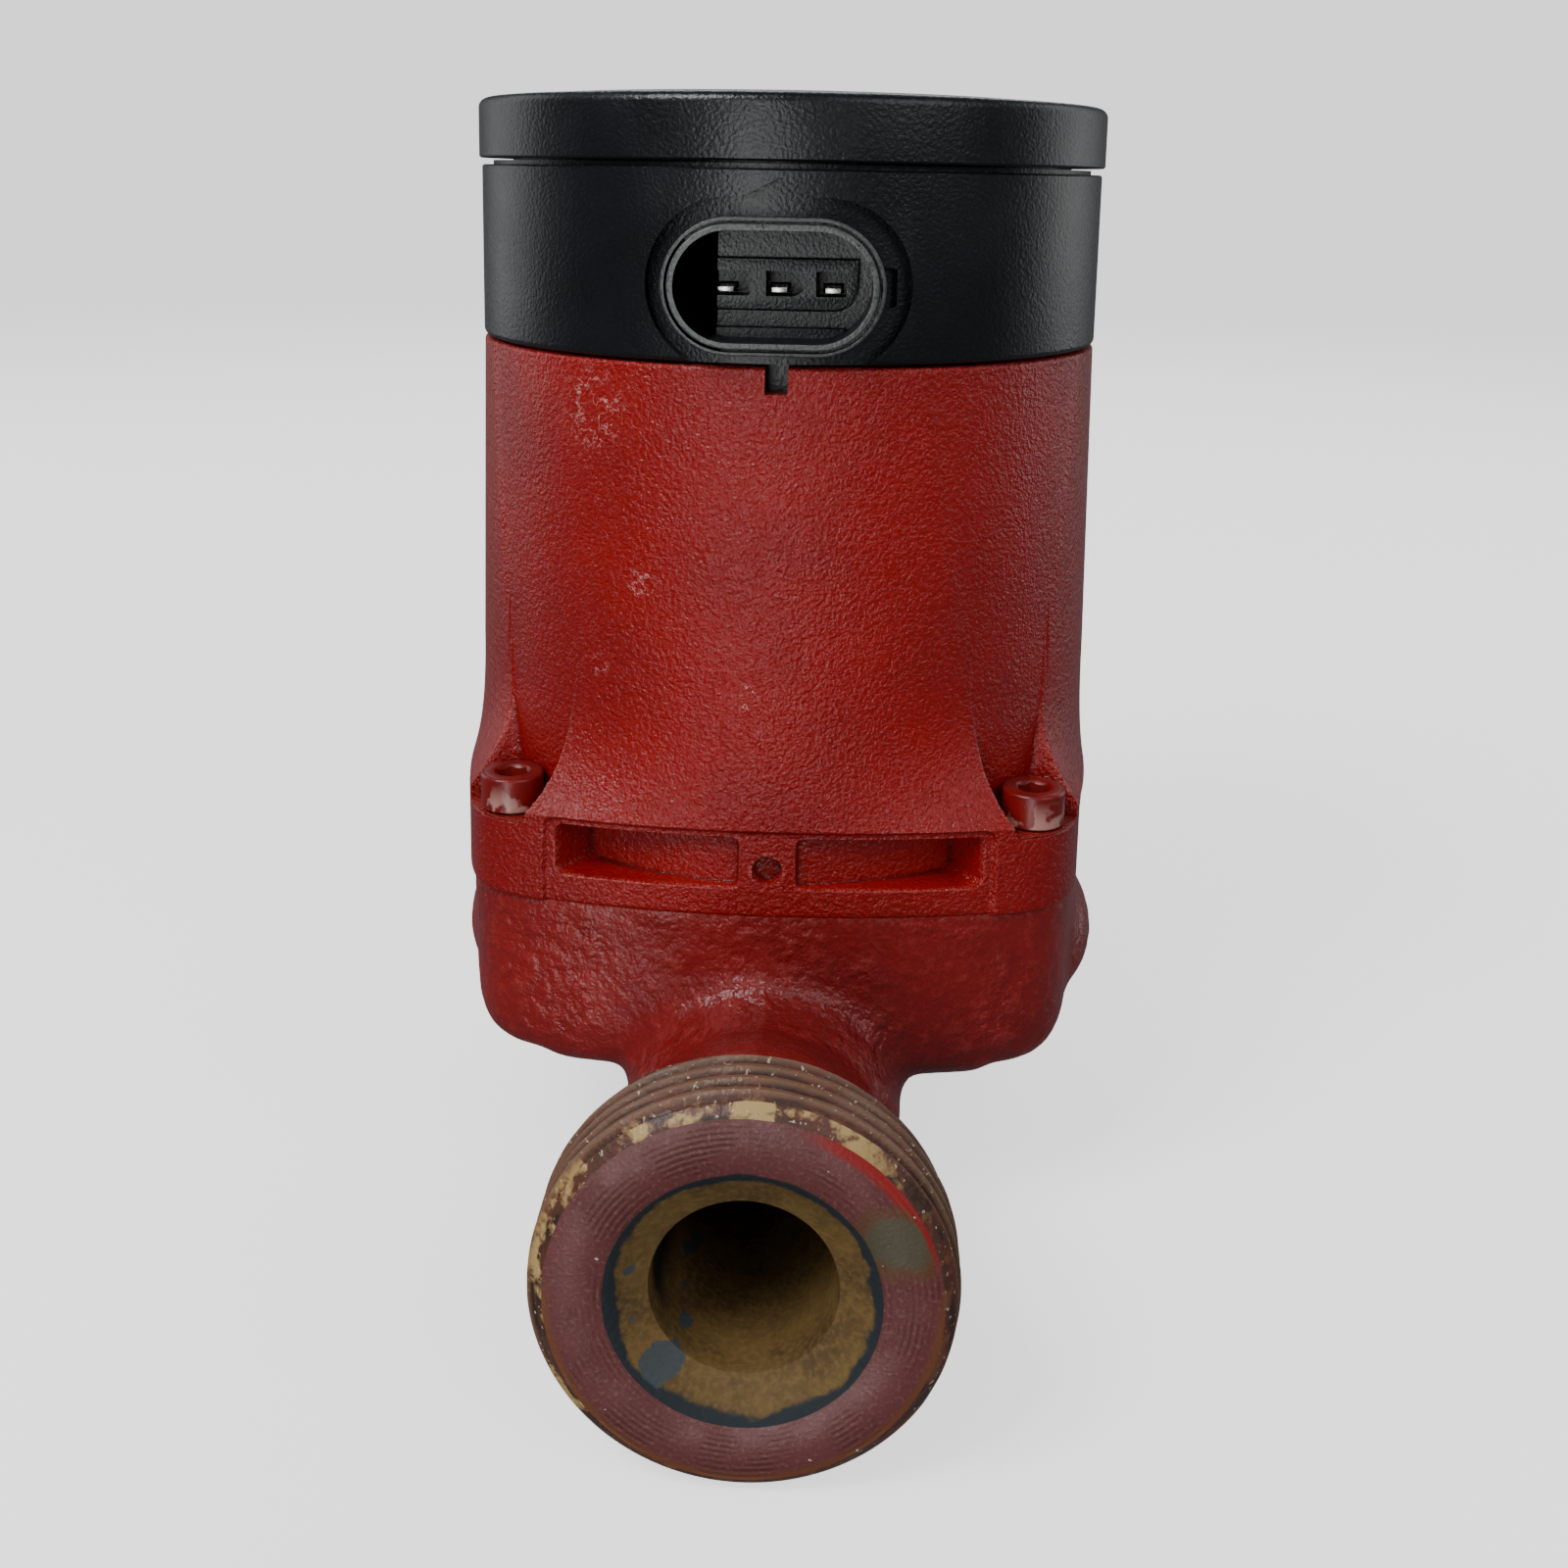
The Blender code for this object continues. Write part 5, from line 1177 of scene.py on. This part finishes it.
    # latch catch at the right end of the socket: a bar in a small frame
    catch_x = x0 + SOCKET_HALF_WIDTH
    frame_out = boxed((catch_x - 0.6 * MM, -45.6 * MM, z0 - 2.6 * MM), (catch_x + 2.4 * MM, -41 * MM, z0 + 2.4 * MM),
                      0.4 * MM)
    gap = boxed((catch_x + 0.3 * MM, -48 * MM, z0 - 1.9 * MM), (catch_x + 1.8 * MM, -43 * MM, z0 + 1.7 * MM), 0.12 * MM)
    bar = boxed((catch_x + 0.45 * MM, -45.9 * MM, z0 - 2.1 * MM), (catch_x + 1.45 * MM, -42 * MM, z0 + 1.9 * MM),
                0.2 * MM)
    combine(piece, "UNION", frame_out)
    combine(piece, "DIFFERENCE", gap)
    combine(piece, "UNION", bar)

    # mould parting flash above the socket, and two nicks in the rim
    flash = boxed((x0 + 0.7 * MM, -45.22 * MM, top + 2.3 * MM), (x0 + 0.95 * MM, -44 * MM, BOX_RIM - 0.3 * MM))
    combine(piece, "UNION", flash)
    nicks = []
    for x, z, turn in ((-10.9, 6, 0.7), (-9.2, -7, -0.5), (-1.2, 7.6, 1.4), (10.6, 5.6, -0.7), (12.2, 3, 0.2)):
        nick = boxed((-0.5 * MM, -48 * MM, -0.22 * MM), (0.5 * MM, -46.55 * MM, 0.22 * MM), 0.08 * MM, 1)
        bmesh.ops.rotate(nick, verts=nick.verts, cent=(0, 0, 0), matrix=Matrix.Rotation(turn, 3, "Y"))
        nicks.append(moved(nick, (x0 + x * MM, 0, z0 + z * MM)))
    combine(piece, "DIFFERENCE", *nicks)

    cutters = []
    for x in (-24 * MM, 24 * MM):
        for y in (-24 * MM, 24 * MM):
            hole = [(0, 100 * MM), (2.2 * MM, 100 * MM), (2.2 * MM, 95 * MM), (0, 95 * MM)]
            cutters.append(moved(spun(hole, 24), (x, y, 0)))
    cutters.append(boxed((-8.5 * MM, 33.5 * MM, 95 * MM), (8.5 * MM, 36.5 * MM, 101 * MM), 0.5 * MM))
    combine(piece, "DIFFERENCE", *cutters)
    posts, holes = [], []
    for x, y in ((-31 * MM, -2 * MM), (31 * MM, -2 * MM), (0, 24 * MM)):
        post = [(0, 103.7 * MM), (2.7 * MM, 103.7 * MM), (2.7 * MM, 98 * MM), (0, 98 * MM)]
        posts.append(moved(spun(post, 32), (x, y, 0)))
        hole = [(0, 105 * MM), (1.5 * MM, 105 * MM), (1.5 * MM, 100.5 * MM), (0, 100.5 * MM)]
        holes.append(moved(spun(hole, 24), (x, y, 0)))
    combine(piece, "UNION", *posts)
    combine(piece, "DIFFERENCE", *holes)
    for polygon in piece.data.polygons:
        x, y, z = polygon.center
        in_socket = abs(x - x0) < SOCKET_HALF_WIDTH + 3 * MM and abs(z - z0) < SOCKET_HALF_HEIGHT + 0.2 * MM
        in_socket = in_socket and y < -29 * MM and math.hypot(x, y) > 29 * MM
        inside = in_socket and y > -46.3 * MM and abs(z - z0) < SOCKET_HALF_HEIGHT - 1.5 * MM
        # faces in the pocket left of the blades take the near-black nylon, a painted shadow
        deep = inside and -12.5 * MM < x - x0 < -7.4 * MM
        polygon.material_index = 2 if deep else 1 if in_socket else 0
    finish(piece, "housing", "black_plastic", "control_box_base", smooth=30)


def make_blades(look):
    """Three tinned blades with chamfered tips in the mains socket."""
    for name in BLADES:
        low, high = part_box(name)
        spread = Vector((0.2 * MM, 0, 0))
        shape = boxed(low - spread, high + spread, 0.1 * MM, 2)
        for vert in shape.verts:
            if vert.co.y < low.y + 0.6 * MM:
                pinch = 0.9
                vert.co.x = (low.x + high.x) / 2 + (vert.co.x - (low.x + high.x) / 2) * 0.92
                vert.co.z = (low.z + high.z) / 2 + (vert.co.z - (low.z + high.z) / 2) * pinch
        piece = new_piece(name.replace("pin", "blade"), shape, look)
        finish(piece, "housing", "tinned_brass", name)


def make_lid(plastic):
    edge = LID_RADIUS - 1.3 * MM
    crown = [(0, LID_TOP), (12 * MM, LID_TOP - 0.1 * MM), (22 * MM, LID_TOP - 0.35 * MM), (31 * MM, LID_TOP - 0.7 * MM),
             (38 * MM, LID_TOP - 1.05 * MM), (42 * MM, LID_TOP - 1.35 * MM)]
    shoulder = [(edge + 1.3 * MM * math.sin(a), 130.1 * MM - 1.3 * MM * (1 - math.cos(a)))
                for a in [math.pi / 2 * i / 7 for i in range(8)]]
    profile = crown + shoulder + [
        (LID_RADIUS, LID_BOTTOM + 0.25 * MM), (LID_RADIUS - 0.25 * MM, LID_BOTTOM), (40.7 * MM, LID_BOTTOM),
        (40.7 * MM, 117.6 * MM), (38.6 * MM, 117.6 * MM), (38.6 * MM, 127.8 * MM), (0, 128.6 * MM),
    ]
    piece = new_piece("control_box_cover", spun(profile, 288), plastic)
    finish(piece, "housing", "black_plastic", "control_box_lid", smooth=30)


# -------------------------------------------------------------- carried nodes


def dress_inner_pieces():
    """Gives every node that stays its own finish, by the record's slots."""
    looks = {slot: inner_finish(*values) for slot, values in INNER_FINISHES.items()}
    looks["lamination"] = stacked_laminations()
    for part in frame["record"]["subparts"]:
        piece = frame["nodes"][part["node"]]
        if not piece.hide_render:
            piece.data.materials.clear()
            piece.data.materials.append(looks[part["material_slot"]])


# ---------------------------------------------------------------------- stage


def make_stage():
    """A pale studio cove under the port, soft lights and the camera."""
    low = CAD_BOX[0][2]
    curve = [(3 + math.sin(a), low + 1 - math.cos(a)) for a in [math.pi / 2 * i / 8 for i in range(9)]]
    shape = spun([(0, low)] + curve + [(4, 4), (0, 4)], 64)
    bmesh.ops.reverse_faces(shape, faces=shape.faces)
    look = Look("pale_studio_paper", Roughness=0.9, Emission_Strength=1.3)
    look.shader.inputs["Emission Color"].default_value = colour("#FFFFFF")
    clouds = look.add("TexNoise", {"Vector": look.where, "Scale": 1 / (400 * MM), "Detail": 2})
    paper = look.done(Base_Color=look.add("Mix", {0: clouds, 6: "#E8E8E7", 7: "#E4E4E3"}, **BLEND))
    mesh = bpy.data.meshes.new("studio_cove")
    shape.to_mesh(mesh)
    shape.free()
    mesh.materials.append(paper)
    cove = bpy.data.objects.new("studio_cove", mesh)
    bpy.context.scene.collection.objects.link(cove)
    # the cove is there to be seen and shaded, and the lamps alone light the pump
    cove.visible_glossy = False
    cove.visible_diffuse = False
    cove.visible_shadow = False

    world = bpy.data.worlds.new("studio")
    bpy.context.scene.world = world
    world.use_nodes = True
    world.node_tree.nodes["Background"].inputs["Color"].default_value = colour("#F2F6FF")
    world.node_tree.nodes["Background"].inputs["Strength"].default_value = 0.14

    aim = Vector((0, 0, 55 * MM))
    for name, azimuth, elevation, distance, width, height, power in (
        ("key", -42, 46, 0.9, 0.4, 0.4, 5.8),
        ("front_band", -10.5, -6, 1.1, 0.34, 0.9, 4.4),
        ("fill", 45, 32, 1.2, 0.7, 0.7, 3.4),
        ("left_rim", -118, 15, 1.0, 0.6, 0.9, 1.8),
        ("right_rim", 118, 15, 1.0, 0.6, 0.9, 2.0),
        ("back", 180, 40, 1.2, 0.8, 0.6, 3.5),
    ):
        data = bpy.data.lights.new(name, "AREA")
        data.shape = "RECTANGLE"
        data.size = width
        data.size_y = height
        data.energy = power
        lamp = bpy.data.objects.new(name, data)
        a, e = math.radians(azimuth), math.radians(elevation)
        back = Vector((math.sin(a) * math.cos(e), -math.cos(a) * math.cos(e), math.sin(e)))
        lamp.location = aim + back * distance
        lamp.rotation_mode = "QUATERNION"
        lamp.rotation_quaternion = (-back).to_track_quat("-Z", "Y")
        bpy.context.scene.collection.objects.link(lamp)

    data = bpy.data.cameras.new("camera")
    data.sensor_width = 36
    data.lens = 38.265
    data.shift_y = -0.1875
    data.clip_start = 0.01
    camera = bpy.data.objects.new("camera", data)
    camera.location = (8.656 * MM, -250.73 * MM, 120.15 * MM)
    yaw, pitch, roll = math.radians(-2.053), math.radians(10.703), math.radians(1.067)
    camera.rotation_mode = "QUATERNION"
    level = Matrix.Rotation(-yaw, 3, "Z") @ Matrix.Rotation(math.pi / 2 - pitch, 3, "X")
    camera.rotation_quaternion = (level @ Matrix.Rotation(roll, 3, "Z")).to_quaternion()
    bpy.context.scene.collection.objects.link(camera)
    bpy.context.scene.camera = camera


make_stage()
make_stator_housing(powder_coated_aluminium())
make_pump_housing(coated_cast_iron(), machined_port_face(), worn_thread(), rusty_bore())
make_flange_screws(painted_screw())
make_control_box(
    moulded_black_plastic("grained_black_nylon", 0.5 * MM, 0.0),
    moulded_black_plastic("scuffed_black_nylon", 0.42 * MM, 0.8),
    shaded_black_plastic(),
)
make_lid(moulded_black_plastic("lid_black_nylon", 0.5 * MM, 0.0))
make_blades(inner_finish(*INNER_FINISHES["tinned_brass"]))
dress_inner_pieces()
